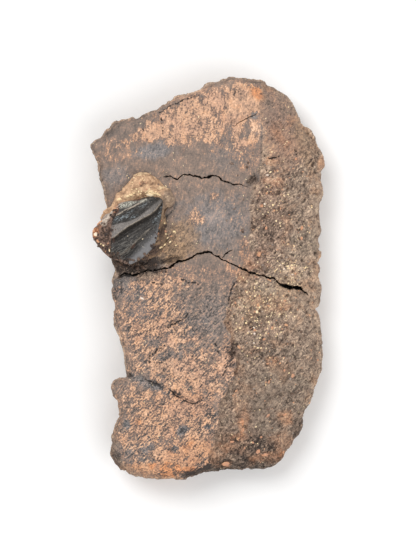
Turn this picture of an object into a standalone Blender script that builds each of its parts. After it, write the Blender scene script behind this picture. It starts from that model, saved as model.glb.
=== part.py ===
"""A broken piece of a horned dinosaur's frill, lying on its flatter face.

It is three pieces: the slab of frill bone, a lump of sandy matrix stuck to the bone near its left
edge, and a ridged tooth with a stump of root, set in the lump. +Z is up, +Y runs along the slab,
and the origin is under the middle of the slab, on the surface that it rests on.

Shapes are worked out in millimetres and turned to metres as each mesh is made.
"""

import math

import bmesh
import bpy
from mathutils import Vector, noise
from mathutils.geometry import delaunay_2d_cdt

MM = 0.001

# The slab: its thickness under the matrix lump, and the spacing of its facets.
THICKNESS = 26.0
TOP_SPACING = 3.3
UNDER_SPACING = 8.0
LONGEST_EDGE = 4.2
ROW_SHARE = 0.866
CROWN = 1.4
CROWN_REACH = (70.0, 115.0)
# Lumps in a surface: their size, their height, and a seed. The rough side also falls away to the right.
SWELL = (28.0, 0.5, 3.1)
ROUGH_LUMPS = ((9.0, 0.7, 5.7), (4.0, 0.4, 8.3))
ROUGH_FALL = 0.035
EDGE_ROUGHNESS = (0.5, 2.2)

# The underside is flat, and rolls up to the broken wall round its edge.
UNDER_RISE = 5.0
UNDER_ROLL = 11.0
# Share of the way down the wall, how far it is set in there, and how ragged it is.
BONE_WALL = ((0.15, 0.2, 0.6), (0.36, 1.5, 2.2), (0.62, 0.7, 2.4), (0.86, 1.5, 1.8), (1.0, 2.8, 0.8))
WALL_LUMPS = 7.0
WALL_LEVEL_SHIFT = 40.0
BONE_SEED, LUMP_SEED, TOOTH_SEED = 4.4, 7.7, 3.3

# The gap between pieces that touch, and how far a seat reaches past the piece that sits on it.
GAP = 0.3
SEAT_MARGIN = 0.5
SEAT_BLEND = 6.0

# The lump: the height of its seat for the tooth above its foot, and how its edge rounds over.
LUMP_SEAT = 5.0
LUMP_SPACING = 2.5
LUMP_UNDER_SPACING = 5.0
LUMP_SEAT_BLEND = 1.8
LUMP_ROUNDING = 4.5
LUMP_DROP = 3.6
OVERHANG = 7.0
OVERHANG_RISE = 1.2
LUMP_ROUGHNESS = (7.0, 0.6, 1.5)
LUMP_EDGE_ROUGHNESS = (0.4, 6.1)

# The tooth: its spacing (along, across), and heights above its seat.
TOOTH_SPACING = (1.7, 1.15)
TOOTH_UNDER_SPACING = (4.3, 3.5)
TOOTH_RIM = 2.6
TOOTH_DOME = 4.0
TOOTH_ROUNDING = 7.0
ROOT_TOP = 5.6
ROOT_ROUGHNESS = (3.0, 1.2, 9.9)
NECK_RUN = 2.5

# The slab seen from above, clockwise from its left tip.
BONE_OUTLINE = (
    (-56.5, 64.0), (-54.0, 66.5), (-50.0, 69.0), (-47.0, 72.0), (-44.5, 75.0), (-39.5, 76.5),
    (-33.5, 77.5), (-27.0, 79.5), (-22.5, 82.0), (-19.0, 85.0), (-15.0, 87.5), (-8.5, 89.0),
    (-3.5, 91.0), (1.0, 93.5), (6.0, 95.0), (11.5, 97.0), (18.5, 96.0), (23.5, 95.0),
    (27.0, 95.5), (29.0, 93.0), (33.5, 90.0), (38.5, 87.0), (41.0, 83.0), (44.0, 78.0),
    (44.5, 74.0), (49.0, 71.0), (51.5, 68.0), (53.0, 63.5), (55.5, 58.5), (56.5, 54.5),
    (54.0, 52.0), (54.0, 48.5), (55.5, 44.0), (55.5, 41.0), (54.0, 37.5), (53.5, 30.5),
    (54.0, 25.5), (53.5, 18.5), (54.0, 13.5), (53.5, 8.0), (53.0, 1.5), (54.5, -4.5),
    (54.5, -10.5), (53.5, -13.5), (52.0, -15.0), (53.0, -17.5), (54.5, -27.0), (55.5, -37.5),
    (55.0, -43.0), (53.0, -49.5), (50.5, -53.5), (49.0, -59.5), (46.5, -63.5), (44.5, -73.0),
    (41.5, -77.0), (39.5, -82.0), (36.5, -86.0), (33.0, -90.5), (25.0, -92.0), (11.5, -92.0),
    (0.0, -93.0), (-4.5, -94.0), (-12.0, -96.5), (-14.5, -97.0), (-18.0, -96.0), (-27.5, -96.0),
    (-35.0, -95.5), (-39.5, -93.0), (-44.0, -89.5), (-46.5, -85.0), (-46.5, -80.5), (-45.5, -75.0),
    (-43.0, -68.0), (-42.0, -64.5), (-43.0, -59.5), (-45.5, -56.5), (-46.5, -52.5), (-45.0, -49.5),
    (-40.0, -48.0), (-39.0, -46.5), (-39.5, -42.0), (-40.5, -34.5), (-42.0, -29.0), (-44.0, -25.0),
    (-45.0, -18.5), (-44.5, -14.0), (-46.0, -6.5), (-46.0, -1.0), (-44.5, 3.0), (-46.0, 9.5),
    (-47.5, 25.5), (-48.5, 37.5), (-50.0, 44.0), (-51.5, 48.0), (-52.5, 55.5), (-55.0, 60.0),
)

# How the top rounds over at places on the edge: x, y, width of the rounding, and its drop.
RIM = (
    (-50.0, 66.0, 4.0, 2.5), (-15.0, 86.0, 4.0, 2.5), (12.0, 96.0, 6.0, 4.0), (36.0, 88.0, 11.0, 6.0),
    (52.0, 65.0, 10.0, 6.0), (54.0, 20.0, 9.0, 6.0), (55.0, -35.0, 10.0, 6.5), (45.0, -72.0, 9.0, 7.0),
    (20.0, -92.0, 8.0, 9.0), (-15.0, -96.0, 4.0, 4.0), (-44.0, -88.0, 6.0, 8.0), (-42.0, -65.0, 3.5, 2.5),
    (-40.0, -35.0, 3.5, 3.0), (-46.0, -5.0, 3.5, 3.0), (-52.0, 52.0, 3.5, 2.5),
)

# The smooth face ends along this line, top to bottom. To its right the bone is rough and lower by
# the third number.
LEDGE = (
    (26.0, 85.5, 0.5), (26.0, 71.0, 0.7), (26.0, 61.5, 0.7), (24.0, 52.0, 0.8), (24.5, 47.0, 1.0),
    (20.5, 43.5, 0.8), (20.5, 30.5, 0.8), (20.0, 18.5, 0.8), (19.5, 9.0, 0.8), (15.5, 5.0, 1.0),
    (14.0, -3.0, 1.2), (11.5, -9.0, 1.2), (8.0, -22.5, 1.6), (11.0, -28.0, 2.2), (11.0, -34.5, 2.6),
    (13.0, -40.0, 2.6), (13.0, -46.5, 2.2), (10.5, -52.5, 2.0), (5.0, -58.5, 1.8), (5.5, -70.5, 1.8),
    (3.0, -77.5, 1.8), (0.5, -86.5, 1.8),
)
LEDGE_RUN = 1.2

# Cracks in the top, as x, y and width. Each tapers to nothing at both ends.
CRACKS = {
    "main": (
        (-43.0, 1.0, 0.0), (-37.5, 2.0, 0.9), (-30.0, 3.0, 1.8), (-23.0, 4.5, 2.4), (-18.0, 6.0, 1.8),
        (-14.5, 9.0, 1.2), (-8.5, 9.5, 0.9), (-4.0, 13.0, 0.9), (2.0, 12.0, 1.2), (10.5, 7.5, 1.2),
        (20.5, 2.5, 1.2), (31.5, 0.0, 1.3), (34.5, -3.0, 1.5), (38.5, -4.0, 2.8), (44.0, -5.0, 2.4),
        (48.5, -8.0, 0.0),
    ),
    "branch": ((6.0, 9.5, 0.0), (9.0, 12.0, 0.8), (12.5, 14.0, 0.0)),
    "upper": (
        (-23.0, 48.0, 0.0), (-18.0, 49.0, 0.8), (-15.0, 47.5, 0.8), (-11.0, 50.0, 0.9), (-6.5, 49.0, 1.2),
        (-2.5, 48.0, 1.2), (4.0, 49.5, 1.1), (6.5, 47.0, 1.0), (10.5, 45.5, 0.9), (16.0, 45.0, 0.8),
        (20.5, 43.5, 0.0),
    ),
    "top": ((12.0, 72.5, 0.0), (15.5, 75.0, 0.8), (20.5, 77.5, 0.8), (24.5, 80.5, 0.0)),
    "step": (
        (-30.5, -48.5, 0.0), (-23.0, -51.0, 1.0), (-14.0, -56.5, 1.2), (-8.0, -59.5, 1.0), (-3.5, -57.0, 0.0),
    ),
}
CRACK_DEPTH = 1.8  # for each millimetre of width

# Pits, pebbles and low humps on the top: x, y, radius, and height.
SPOTS = (
    (27.0, 5.0, 2.0, 1.5), (27.0, 42.0, 1.8, -1.2), (33.0, 41.0, 2.4, -1.3), (22.5, 48.0, 2.6, -1.4),
    (22.5, -0.5, 2.6, -1.1), (-15.5, -21.5, 1.9, -1.0), (9.0, -89.5, 2.2, 1.4), (44.5, 13.5, 1.9, -1.1),
    (30.0, 30.0, 3.0, 0.9), (38.0, 22.0, 3.2, -1.0), (34.0, -12.0, 3.6, 1.0), (26.0, -22.0, 3.2, -1.0),
    (40.0, -30.0, 3.6, 1.1), (22.0, -50.0, 3.6, 1.0), (33.0, -58.0, 3.4, -1.1), (17.0, -68.0, 3.2, -1.0),
    (28.0, -76.0, 3.6, 1.1), (38.0, 52.0, 3.4, -1.0), (40.0, 64.0, 3.6, 0.9), (33.0, 18.0, 2.8, 1.0),
)
SPOT_RINGS = (0.55, 1.0)
SPOT_SIDES = 6

# The matrix lump seen from above. Part of it hangs past the slab's left edge.
LUMP_OUTLINE = (
    (-35.5, 50.0), (-32.0, 51.0), (-27.5, 50.5), (-24.5, 48.5), (-21.5, 45.5), (-17.0, 42.0),
    (-15.5, 38.5), (-16.5, 34.5), (-19.0, 32.0), (-19.5, 29.0), (-19.5, 25.0), (-19.0, 20.5),
    (-20.5, 15.0), (-24.0, 11.0), (-28.5, 8.5), (-35.0, 7.0), (-41.0, 7.5), (-45.5, 9.5),
    (-49.0, 13.5), (-51.0, 18.5), (-52.0, 25.0), (-51.5, 30.0), (-50.5, 32.5), (-47.0, 34.5),
    (-45.5, 38.0), (-43.5, 41.0), (-41.0, 42.5), (-39.0, 45.0),
)
LUMP_WALL = ((0.5, 0.0, 0.3), (1.0, 0.5, 0.2))
# Humps of the lump: x, y, radius, and height above its seat.
LUMP_HUMPS = (
    (-32.0, 44.0, 9.0, 3.6), (-22.0, 38.5, 7.0, 3.4), (-41.0, 38.5, 5.0, 1.2), (-27.0, 47.0, 5.0, 1.6),
)

# The tooth seen from above, with the crown's tip at the upper right and the root at the left.
TOOTH_OUTLINE = (
    (-43.5, 34.5), (-41.5, 36.5), (-37.5, 37.5), (-32.5, 38.0), (-29.0, 39.0), (-25.5, 39.0),
    (-23.0, 38.5), (-21.5, 37.0), (-21.5, 34.5), (-23.0, 32.0), (-23.0, 28.0), (-24.0, 23.5),
    (-26.0, 18.5), (-25.5, 16.0), (-27.5, 13.5), (-32.5, 9.0), (-36.0, 6.0), (-39.0, 9.0),
    (-41.5, 10.5), (-46.0, 11.5), (-49.5, 14.0), (-52.5, 17.0), (-55.0, 20.0), (-55.0, 23.5),
    (-52.5, 26.5), (-49.5, 29.5), (-46.0, 32.0),
)
TOOTH_WALL = ((0.45, -0.1, 0.0), (1.0, 0.9, 0.0))
TOOTH_CENTRE = (-34.5, 22.0)
TOOTH_ANGLE = math.radians(32)
# Where the crown ends and the root starts, as a line across the tooth.
NECK = ((-43.5, 36.0), (-46.0, 10.0))
# The lines along the crown, as (along, across) in its own directions, with each one's half width and height.
TOOTH_LINES = (
    (((-13.0, 5.4), (0.0, 5.7), (17.0, 6.2)), 2.6, 2.3),
    (((-14.0, 0.6), (0.0, 1.9), (15.0, 3.4)), 1.5, -1.7),
    (((-16.0, -3.4), (-5.0, -3.0), (4.5, -2.6), (13.0, 1.2)), 1.5, 1.3),
    (((-13.0, -7.4), (0.0, -6.4), (7.0, -4.4)), 1.6, -0.9),
    (((-2.0, 11.8), (10.0, 10.6), (15.0, 9.2)), 1.1, 0.8),
    (((-8.0, 9.0), (4.0, 8.9), (14.0, 8.0)), 1.2, -0.9),
)


def clear_scene():
    for old in list(bpy.data.objects):
        bpy.data.objects.remove(old)


def plan(points):
    return [Vector(point[:2]) for point in points]


def nearest_on(point, line):
    """Distance from the line, and the segment and the share of it where the line is nearest."""
    best = (math.inf, 0, 0.0)
    for index, (start, end) in enumerate(zip(line, line[1:])):
        along = end - start
        share = min(max((point - start).dot(along) / along.length_squared, 0.0), 1.0)
        best = min(best, ((start + along * share - point).length, index, share))
    return best


def loop_of(outline):
    """The outline as a line that comes back to its start."""
    points = plan(outline)
    return points + points[:1]


def inside(point, loop):
    """True where an odd number of the loop's edges lies to the right of the point."""
    crossings = 0
    for start, end in zip(loop, loop[1:]):
        if (start.y > point.y) != (end.y > point.y):
            crossing = start.x + (point.y - start.y) * (end.x - start.x) / (end.y - start.y)
            crossings += crossing > point.x
    return crossings % 2 == 1


def runs_inside(line, loop):
    """The stretches of the line inside the loop, each with one more point past each end."""
    runs = []
    for start, end in zip(line, line[1:]):
        if not (inside(start, loop) or inside(end, loop)):
            continue
        if runs and runs[-1][-1] == start:
            runs[-1].append(end)
        else:
            runs.append([start, end])
    return runs


def smoothstep(share):
    share = min(max(share, 0.0), 1.0)
    return share * share * (3.0 - 2.0 * share)


def between(y, column):
    """The table's values at this height, with rows (x, y, value) that run from top to bottom."""
    for (x_a, y_a, value_a), (x_b, y_b, value_b) in zip(column, column[1:]):
        if y >= y_b:
            share = min(max((y_a - y) / (y_a - y_b), 0.0), 1.0)
            return x_a + (x_b - x_a) * share, value_a + (value_b - value_a) * share
    return column[-1][0], column[-1][2]


def bumpy(point, size, seed):
    """Smooth noise between -1 and 1, with lumps about this many millimetres across."""
    return noise.noise(Vector((point.x / size, point.y / size, seed)))


def lumps(point, size, height, seed):
    return height * bumpy(point, size, seed)


def cut_up(line, longest, roughness, seed):
    """The line with a point at least this often. The added points stray a little from it."""
    points = []
    for start, end in zip(line, line[1:]):
        count = math.ceil((end - start).length / longest)
        side = (end - start).orthogonal().normalized()
        for step in range(count):
            point = start.lerp(end, step / count)
            stray = roughness * bumpy(point, longest, seed) if step else 0.0
            points.append(point + side * stray)
    return points + line[-1:]


def offset_line(line, widths):
    """The line moved sideways, by a width for each of its points."""
    moved = []
    for index, point in enumerate(line):
        before = line[max(index - 1, 0)]
        after = line[min(index + 1, len(line) - 1)]
        side = (after - before).orthogonal().normalized()
        moved.append(point + side * widths[index])
    return moved


def offset_loop(outline, distance):
    """The outline made larger all round by this distance."""
    points = plan(outline)
    grown = []
    for index, point in enumerate(points):
        chord = points[(index + 1) % len(points)] - points[index - 1]
        side = Vector((-chord.y, chord.x)).normalized()
        grown.append(point + side * distance)
    return grown + grown[:1]


def lattice(loop, spacing, turn, lines):
    """Points in rows, clear of the loop and of the lines. Spacing is (along a row, between rows)."""
    along, across = spacing
    middle = sum(loop[:-1], Vector((0.0, 0.0))) / (len(loop) - 1)
    reach = max((point - middle).length for point in loop)
    axis = Vector((math.cos(turn), math.sin(turn)))
    side = Vector((-axis.y, axis.x))
    clear = 0.6 * across
    points = []
    rows = math.ceil(reach / across)
    columns = math.ceil(reach / along)
    for row in range(-rows, rows + 1):
        for column in range(-columns, columns + 1):
            shift = 0.5 * (row % 2)
            point = middle + axis * ((column + shift) * along) + side * (row * across)
            if min(nearest_on(point, line)[0] for line in [loop, *lines]) > clear:
                points.append(point)
    return points


def add_sheet(bm, loop, points, lines, height):
    """Triangles over the loop's inside, with edges along the lines. It returns the new faces."""
    corners = list(loop[:-1])
    edges = [(index, (index + 1) % len(corners)) for index in range(len(corners))]
    for line in lines:
        edges += [(len(corners) + index, len(corners) + index + 1) for index in range(len(line) - 1)]
        corners += line
    corners += points
    places, _, triangles, *_ = delaunay_2d_cdt(corners, edges, [], 1, 1e-4)
    used = sorted({corner for triangle in triangles for corner in triangle})
    made = {corner: bm.verts.new((*places[corner], height(places[corner]))) for corner in used}
    return [bm.faces.new([made[corner] for corner in triangle]) for triangle in triangles]


def inward_directions(edges):
    """For each vertex of an open edge loop, the plan direction into the sheet, evened out."""
    ways = {}
    for edge in edges:
        middle = (edge.verts[0].co + edge.verts[1].co) / 2
        face_middle = edge.link_faces[0].calc_center_median()
        run = (edge.verts[1].co - edge.verts[0].co).to_2d()
        side = run.orthogonal().normalized()
        side *= math.copysign(1.0, side.dot((face_middle - middle).to_2d()))
        for vert in edge.verts:
            ways[vert] = ways.get(vert, Vector((0.0, 0.0))) + side
    for _ in range(2):
        evened = {vert: way * 2.0 for vert, way in ways.items()}
        for edge in edges:
            first, second = edge.verts
            evened[first] += ways[second]
            evened[second] += ways[first]
        ways = {vert: way.normalized() for vert, way in evened.items()}
    return ways


def add_wall(bm, edges, levels, foot, seed):
    """Runs the open loop down to the foot's height, level by level. It returns the lowest loop in order."""
    ways = inward_directions(edges)
    starts = {vert: vert for vert in ways}
    tops = {vert: vert.co.copy() for vert in ways}
    for share, inset, ragged in levels:
        extruded = bmesh.ops.extrude_edge_only(bm, edges=edges)["geom"]
        fresh = {item for item in extruded if isinstance(item, bmesh.types.BMVert)}
        new_edges = [item for item in extruded if isinstance(item, bmesh.types.BMEdge)]
        edges = [edge for edge in new_edges if set(edge.verts) <= fresh]
        origins = {}
        for vert in fresh:
            neighbours = [edge.other_vert(vert) for edge in vert.link_edges]
            origins[vert] = next(starts[above] for above in neighbours if above in starts)
        for vert, origin in origins.items():
            start = tops[origin]
            noise_place = start.to_2d() + Vector((0.0, share * WALL_LEVEL_SHIFT))
            depth = inset + ragged * (0.5 + bumpy(noise_place, WALL_LUMPS, seed))
            place = start.to_2d() + ways[origin] * depth
            vert.co = (*place, start.z + (foot(start.to_2d()) - start.z) * share)
        starts = origins
    return ordered(edges)


def ordered(edges):
    """The places of one closed run of edges, in order, back to the first."""
    left = set(edges)
    edge = edges[0]
    vert = edge.verts[0]
    places = [vert.co.copy()]
    while left:
        left.discard(edge)
        vert = edge.other_vert(vert)
        places.append(vert.co.copy())
        edge = next((near for near in vert.link_edges if near in left), None)
        if edge is None:
            break
    return places


def relief_body(name, loop, top, top_points, top_lines, wall, under, under_points, seed, material):
    """A closed body from a top sheet, a wall round it, and an under sheet that fills the wall's foot."""
    bm = bmesh.new()
    add_sheet(bm, loop, top_points, top_lines, top)
    rim = [edge for edge in bm.edges if edge.is_boundary]
    lowest = add_wall(bm, rim, wall, under, seed)
    foot_loop = [place.to_2d() for place in lowest]
    heights = {tuple(place.to_2d()): place.z for place in lowest}
    clear_points = [point for point in under_points if nearest_on(point, foot_loop)[0] > GAP]
    add_sheet(bm, foot_loop, clear_points, [], lambda place: heights.get(tuple(place), under(place)))
    bmesh.ops.remove_doubles(bm, verts=bm.verts, dist=GAP / 100.0)
    bmesh.ops.recalc_face_normals(bm, faces=bm.faces)
    bmesh.ops.scale(bm, vec=(MM, MM, MM), verts=bm.verts)
    mesh = bpy.data.meshes.new(name)
    bm.to_mesh(mesh)
    bm.free()
    mesh.materials.append(material)
    mesh.shade_smooth()
    mesh.set_sharp_from_angle(angle=math.radians(50))
    body = bpy.data.objects.new(name, mesh)
    bpy.context.scene.collection.objects.link(body)
    return body


def stone_material(name, colour, roughness):
    material = bpy.data.materials.new(name)
    material.use_nodes = True
    shader = material.node_tree.nodes["Principled BSDF"]
    shader.inputs["Base Color"].default_value = (*colour, 1.0)
    shader.inputs["Roughness"].default_value = roughness
    shader.inputs["Metallic"].default_value = 0.0
    return material


BONE_LOOP = loop_of(BONE_OUTLINE)
LUMP_LOOP = loop_of(LUMP_OUTLINE)
LUMP_SEAT_LOOP = offset_loop(LUMP_OUTLINE, SEAT_MARGIN)
TOOTH_LOOP = loop_of(TOOTH_OUTLINE)
TOOTH_SEAT_LOOP = offset_loop(TOOTH_OUTLINE, SEAT_MARGIN)
CRACK_LINES = {name: plan(points) for name, points in CRACKS.items()}
LUMP_FOOT = THICKNESS + GAP
TOOTH_FOOT = LUMP_FOOT + LUMP_SEAT + GAP


def rim_rounding(point, from_edge):
    """How far the slab's edge has dropped here. Nearby places of RIM count most."""
    total = width = drop = 0.0
    for x, y, spot_width, spot_drop in RIM:
        weight = 1.0 / ((point - Vector((x, y))).length_squared + 1.0) ** 2
        total += weight
        width += weight * spot_width
        drop += weight * spot_drop
    share = max(1.0 - from_edge * total / width, 0.0)
    return drop / total * share * share


def crack_depth(point):
    """The deepest that any crack is here: a V as wide as the crack."""
    deepest = 0.0
    for name, line in CRACK_LINES.items():
        away, index, share = nearest_on(point, line)
        start, end = CRACKS[name][index][2], CRACKS[name][index + 1][2]
        half_width = (start + (end - start) * share) / 2
        if away < half_width:
            deepest = max(deepest, CRACK_DEPTH * 2.0 * (half_width - away))
    return deepest


def spots_height(point):
    height = 0.0
    for x, y, radius, rise in SPOTS:
        height += rise * (1.0 - smoothstep((point - Vector((x, y))).length / radius))
    return height


def bone_top(point):
    point = Vector(point)
    rise = CROWN * (1.0 - (point.x / CROWN_REACH[0]) ** 2 - (point.y / CROWN_REACH[1]) ** 2)
    rise += lumps(point, *SWELL)
    ledge_x, step = between(point.y, LEDGE)
    rough = smoothstep((point.x - ledge_x) / LEDGE_RUN)
    rise -= rough * (step + ROUGH_FALL * max(point.x - ledge_x, 0.0))
    rise += rough * sum(lumps(point, *kind) for kind in ROUGH_LUMPS)
    rise += spots_height(point) - crack_depth(point)
    rise -= rim_rounding(point, nearest_on(point, BONE_LOOP)[0])
    if inside(point, LUMP_SEAT_LOOP):
        rise = 0.0
    return THICKNESS + rise * smoothstep(nearest_on(point, LUMP_SEAT_LOOP)[0] / SEAT_BLEND)


def bone_under(point):
    from_edge = nearest_on(Vector(point), BONE_LOOP)[0]
    share = max(1.0 - from_edge / UNDER_ROLL, 0.0)
    return UNDER_RISE * share * share


def bone_lines():
    """Lines that the top's facets follow: the seat's edge, the ledge's lip and toe, and each crack."""
    ledge = plan(LEDGE)
    lines = [ledge, offset_line(ledge, [LEDGE_RUN] * len(ledge))]
    lines += runs_inside(LUMP_SEAT_LOOP, BONE_LOOP)
    for name, line in CRACK_LINES.items():
        widths = [row[2] / 2 for row in CRACKS[name]]
        lines += [line, offset_line(line, widths), offset_line(line, [-width for width in widths])]
    return [cut_up(line, LONGEST_EDGE, 0.0, 0.0) for line in lines]


def spot_points():
    points = []
    for x, y, radius, _ in SPOTS:
        points.append(Vector((x, y)))
        for share in SPOT_RINGS:
            for side in range(SPOT_SIDES):
                turn = math.tau * (side + share) / SPOT_SIDES
                points.append(Vector((x, y)) + radius * share * Vector((math.cos(turn), math.sin(turn))))
    return points


def make_bone():
    loop = cut_up(BONE_LOOP, LONGEST_EDGE, *EDGE_ROUGHNESS)
    lines = bone_lines()
    points = lattice(loop, (TOP_SPACING, TOP_SPACING * ROW_SHARE), 0.0, lines)
    spots = spot_points()
    spot_clear = TOP_SPACING / 2
    points = [point for point in points if min((point - spot).length for spot in spots) > spot_clear]
    under = lattice(loop, (UNDER_SPACING, UNDER_SPACING * ROW_SHARE), 0.0, [])
    material = stone_material("frill_bone", (0.356, 0.254, 0.195), 0.85)
    points += spots
    return relief_body(
        "frill_bone", loop, bone_top, points, lines, BONE_WALL, bone_under, under, BONE_SEED, material
    )


def lump_top(point):
    """Two humps behind the tooth, falling to a broken edge, and level where the tooth sits."""
    point = Vector(point)
    rise = lumps(point, *LUMP_ROUGHNESS)
    for x, y, radius, height in LUMP_HUMPS:
        rise += height * (1.0 - smoothstep((point - Vector((x, y))).length / radius))
    if inside(point, TOOTH_SEAT_LOOP):
        rise = 0.0
    rise *= smoothstep(nearest_on(point, TOOTH_SEAT_LOOP)[0] / LUMP_SEAT_BLEND)
    rounding = max(1.0 - nearest_on(point, LUMP_LOOP)[0] / LUMP_ROUNDING, 0.0)
    return LUMP_FOOT + LUMP_SEAT + rise - LUMP_DROP * rounding * rounding


def lump_under(point):
    """Level over the slab. Past the slab's edge it rises to the lump's own edge."""
    point = Vector(point)
    if inside(point, BONE_LOOP):
        return LUMP_FOOT
    return LUMP_FOOT + OVERHANG_RISE * smoothstep(nearest_on(point, BONE_LOOP)[0] / OVERHANG)


def make_lump():
    loop = cut_up(LUMP_LOOP, LUMP_SPACING, *LUMP_EDGE_ROUGHNESS)
    lines = [cut_up(run, LUMP_SPACING, 0.0, 0.0) for run in runs_inside(TOOTH_SEAT_LOOP, LUMP_LOOP)]
    points = lattice(loop, (LUMP_SPACING, LUMP_SPACING * ROW_SHARE), 0.0, lines)
    under = lattice(loop, (LUMP_UNDER_SPACING, LUMP_UNDER_SPACING * ROW_SHARE), 0.0, [])
    material = stone_material("sandy_matrix", (0.539, 0.337, 0.212), 0.9)
    return relief_body(
        "matrix_lump", loop, lump_top, points, lines, LUMP_WALL, lump_under, under, LUMP_SEED, material
    )


def tooth_directions(point):
    """The point as (along, across) the crown, from the tooth's centre."""
    way = Vector(point) - Vector(TOOTH_CENTRE)
    cosine, sine = math.cos(TOOTH_ANGLE), math.sin(TOOTH_ANGLE)
    return Vector((way.x * cosine + way.y * sine, way.y * cosine - way.x * sine))


def tooth_top(point):
    """A low dome with ridges and grooves along the crown, and a rough stump of root behind the neck."""
    point = Vector(point)
    from_edge = nearest_on(point, TOOTH_LOOP)[0]
    swell = math.sqrt(1.0 - max(1.0 - from_edge / TOOTH_ROUNDING, 0.0) ** 2)
    crown = TOOTH_RIM + TOOTH_DOME * swell
    place = tooth_directions(point)
    for line, half_width, rise in TOOTH_LINES:
        away = nearest_on(place, plan(line))[0] / half_width
        crown += rise * swell * math.exp(-away * away)
    root = TOOTH_RIM + (ROOT_TOP - TOOTH_RIM) * swell + lumps(point, *ROOT_ROUGHNESS)
    neck_start, neck_end = plan(NECK)
    behind = (neck_end - neck_start).cross(point - neck_start) / (neck_end - neck_start).length
    share = smoothstep(0.5 - behind / NECK_RUN)
    return TOOTH_FOOT + crown + (root - crown) * share


def tooth_under(point):
    return TOOTH_FOOT


def make_tooth():
    loop = cut_up(TOOTH_LOOP, TOOTH_SPACING[0], 0.0, 0.0)
    points = lattice(loop, TOOTH_SPACING, TOOTH_ANGLE, [])
    under = lattice(loop, TOOTH_UNDER_SPACING, TOOTH_ANGLE, [])
    material = stone_material("tooth_enamel", (0.091, 0.084, 0.08), 0.35)
    return relief_body(
        "tooth", loop, tooth_top, points, [], TOOTH_WALL, tooth_under, under, TOOTH_SEED, material
    )


clear_scene()
make_bone()
make_lump()
make_tooth()
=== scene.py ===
# %% [markdown]
# # A fossil frill bone, with a tooth in a lump of matrix
#
# The object is a broken slab of bone from a horned dinosaur's frill. Half of its face is smooth and
# coated with salmon-coloured mineral, and half is crumbly. A lump of sandy stone is stuck on it, and
# a dark ridged tooth sits in that lump. It lies flat and is seen from straight above.
#
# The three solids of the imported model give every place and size. Each is copied, cut into a fine
# mesh and sculpted by formulas, so the fine surface sits exactly where the plain solid does.

# %% Load the frame
import math

import bmesh
import bpy
import numpy as np
from mathutils import Matrix, Vector, geometry, noise
from mathutils.bvhtree import BVHTree
from mathutils.kdtree import KDTree


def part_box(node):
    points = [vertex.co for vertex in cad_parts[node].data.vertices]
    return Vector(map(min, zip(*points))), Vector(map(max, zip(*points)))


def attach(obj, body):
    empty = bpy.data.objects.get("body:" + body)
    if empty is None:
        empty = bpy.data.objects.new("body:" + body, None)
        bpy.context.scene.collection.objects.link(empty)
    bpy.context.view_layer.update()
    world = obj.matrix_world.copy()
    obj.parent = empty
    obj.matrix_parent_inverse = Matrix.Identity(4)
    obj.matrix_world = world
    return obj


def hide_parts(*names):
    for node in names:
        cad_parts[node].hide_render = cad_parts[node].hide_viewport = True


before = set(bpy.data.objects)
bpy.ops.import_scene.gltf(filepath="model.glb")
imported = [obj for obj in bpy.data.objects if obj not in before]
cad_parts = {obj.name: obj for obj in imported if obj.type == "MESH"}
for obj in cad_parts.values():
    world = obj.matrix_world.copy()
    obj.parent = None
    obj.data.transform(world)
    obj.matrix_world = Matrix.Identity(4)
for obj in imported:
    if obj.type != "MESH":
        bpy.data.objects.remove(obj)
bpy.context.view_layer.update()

# %% [markdown]
# ## Camera, light and floor
#
# A long lens far above the object shows it nearly without perspective, as a flat picture. A broad
# soft light from the upper left models the relief, and a pale sky fills the shadows.

# %% Camera
MM = 0.001
FACE_HEIGHT = 26.0 * MM
VIEW_HEIGHT = 265.9 * MM
VIEW_CENTRE = (0.1 * MM, 0.6 * MM)
CAMERA_HEIGHT = 1.3
SENSOR = 24.0

camera = bpy.data.objects.new("camera", bpy.data.cameras.new("camera"))
bpy.context.scene.collection.objects.link(camera)
camera.location = (*VIEW_CENTRE, CAMERA_HEIGHT)
camera.data.sensor_fit = "VERTICAL"
camera.data.sensor_height = SENSOR
camera.data.lens = SENSOR * (CAMERA_HEIGHT - FACE_HEIGHT) / VIEW_HEIGHT
camera.data.clip_end = 10.0
bpy.context.scene.camera = camera
bpy.context.scene.view_settings.view_transform = "Standard"
print("lens", round(camera.data.lens, 1), "mm")


# %% Lights
def add_area_light(name, place, size, power):
    """A square soft light of this size in metres, aimed at the object."""
    light = bpy.data.objects.new(name, bpy.data.lights.new(name, "AREA"))
    light.data.size = size
    light.data.energy = power
    light.location = place
    light.rotation_euler = (-Vector(place)).to_track_quat("-Z", "Y").to_euler()
    bpy.context.scene.collection.objects.link(light)
    return light


add_area_light("key_light", (-0.5, 0.65, 1.3), size=0.85, power=12.5)
add_area_light("fill_light", (0.7, -0.6, 1.3), size=1.4, power=10.5)
SKY_COLOUR = (1.0, 0.99, 0.98, 1.0)
SKY_STRENGTH = 0.55
world = bpy.data.worlds.new("sky")
bpy.context.scene.world = world
world.use_nodes = True
sky = world.node_tree.nodes["Background"]
sky.inputs["Color"].default_value = SKY_COLOUR
sky.inputs["Strength"].default_value = SKY_STRENGTH


# %% Floor
FLOOR_SIZE = 4.0
FLOOR_COLOUR = (0.93, 0.93, 0.93, 1.0)


def as_mesh(bm, name):
    """The editable mesh as a finished one of this name."""
    mesh = bpy.data.meshes.new(name)
    bm.to_mesh(mesh)
    bm.free()
    return mesh


bm = bmesh.new()
bmesh.ops.create_grid(bm, x_segments=1, y_segments=1, size=FLOOR_SIZE / 2)
floor = bpy.data.objects.new("floor", as_mesh(bm, "floor"))
bpy.context.scene.collection.objects.link(floor)
floor_paint = bpy.data.materials.new("floor_white")
floor_paint.use_nodes = True
floor_shader = floor_paint.node_tree.nodes["Principled BSDF"]
floor_shader.inputs["Base Color"].default_value = FLOOR_COLOUR
floor_shader.inputs["Roughness"].default_value = 0.9
floor.data.materials.append(floor_paint)

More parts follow.
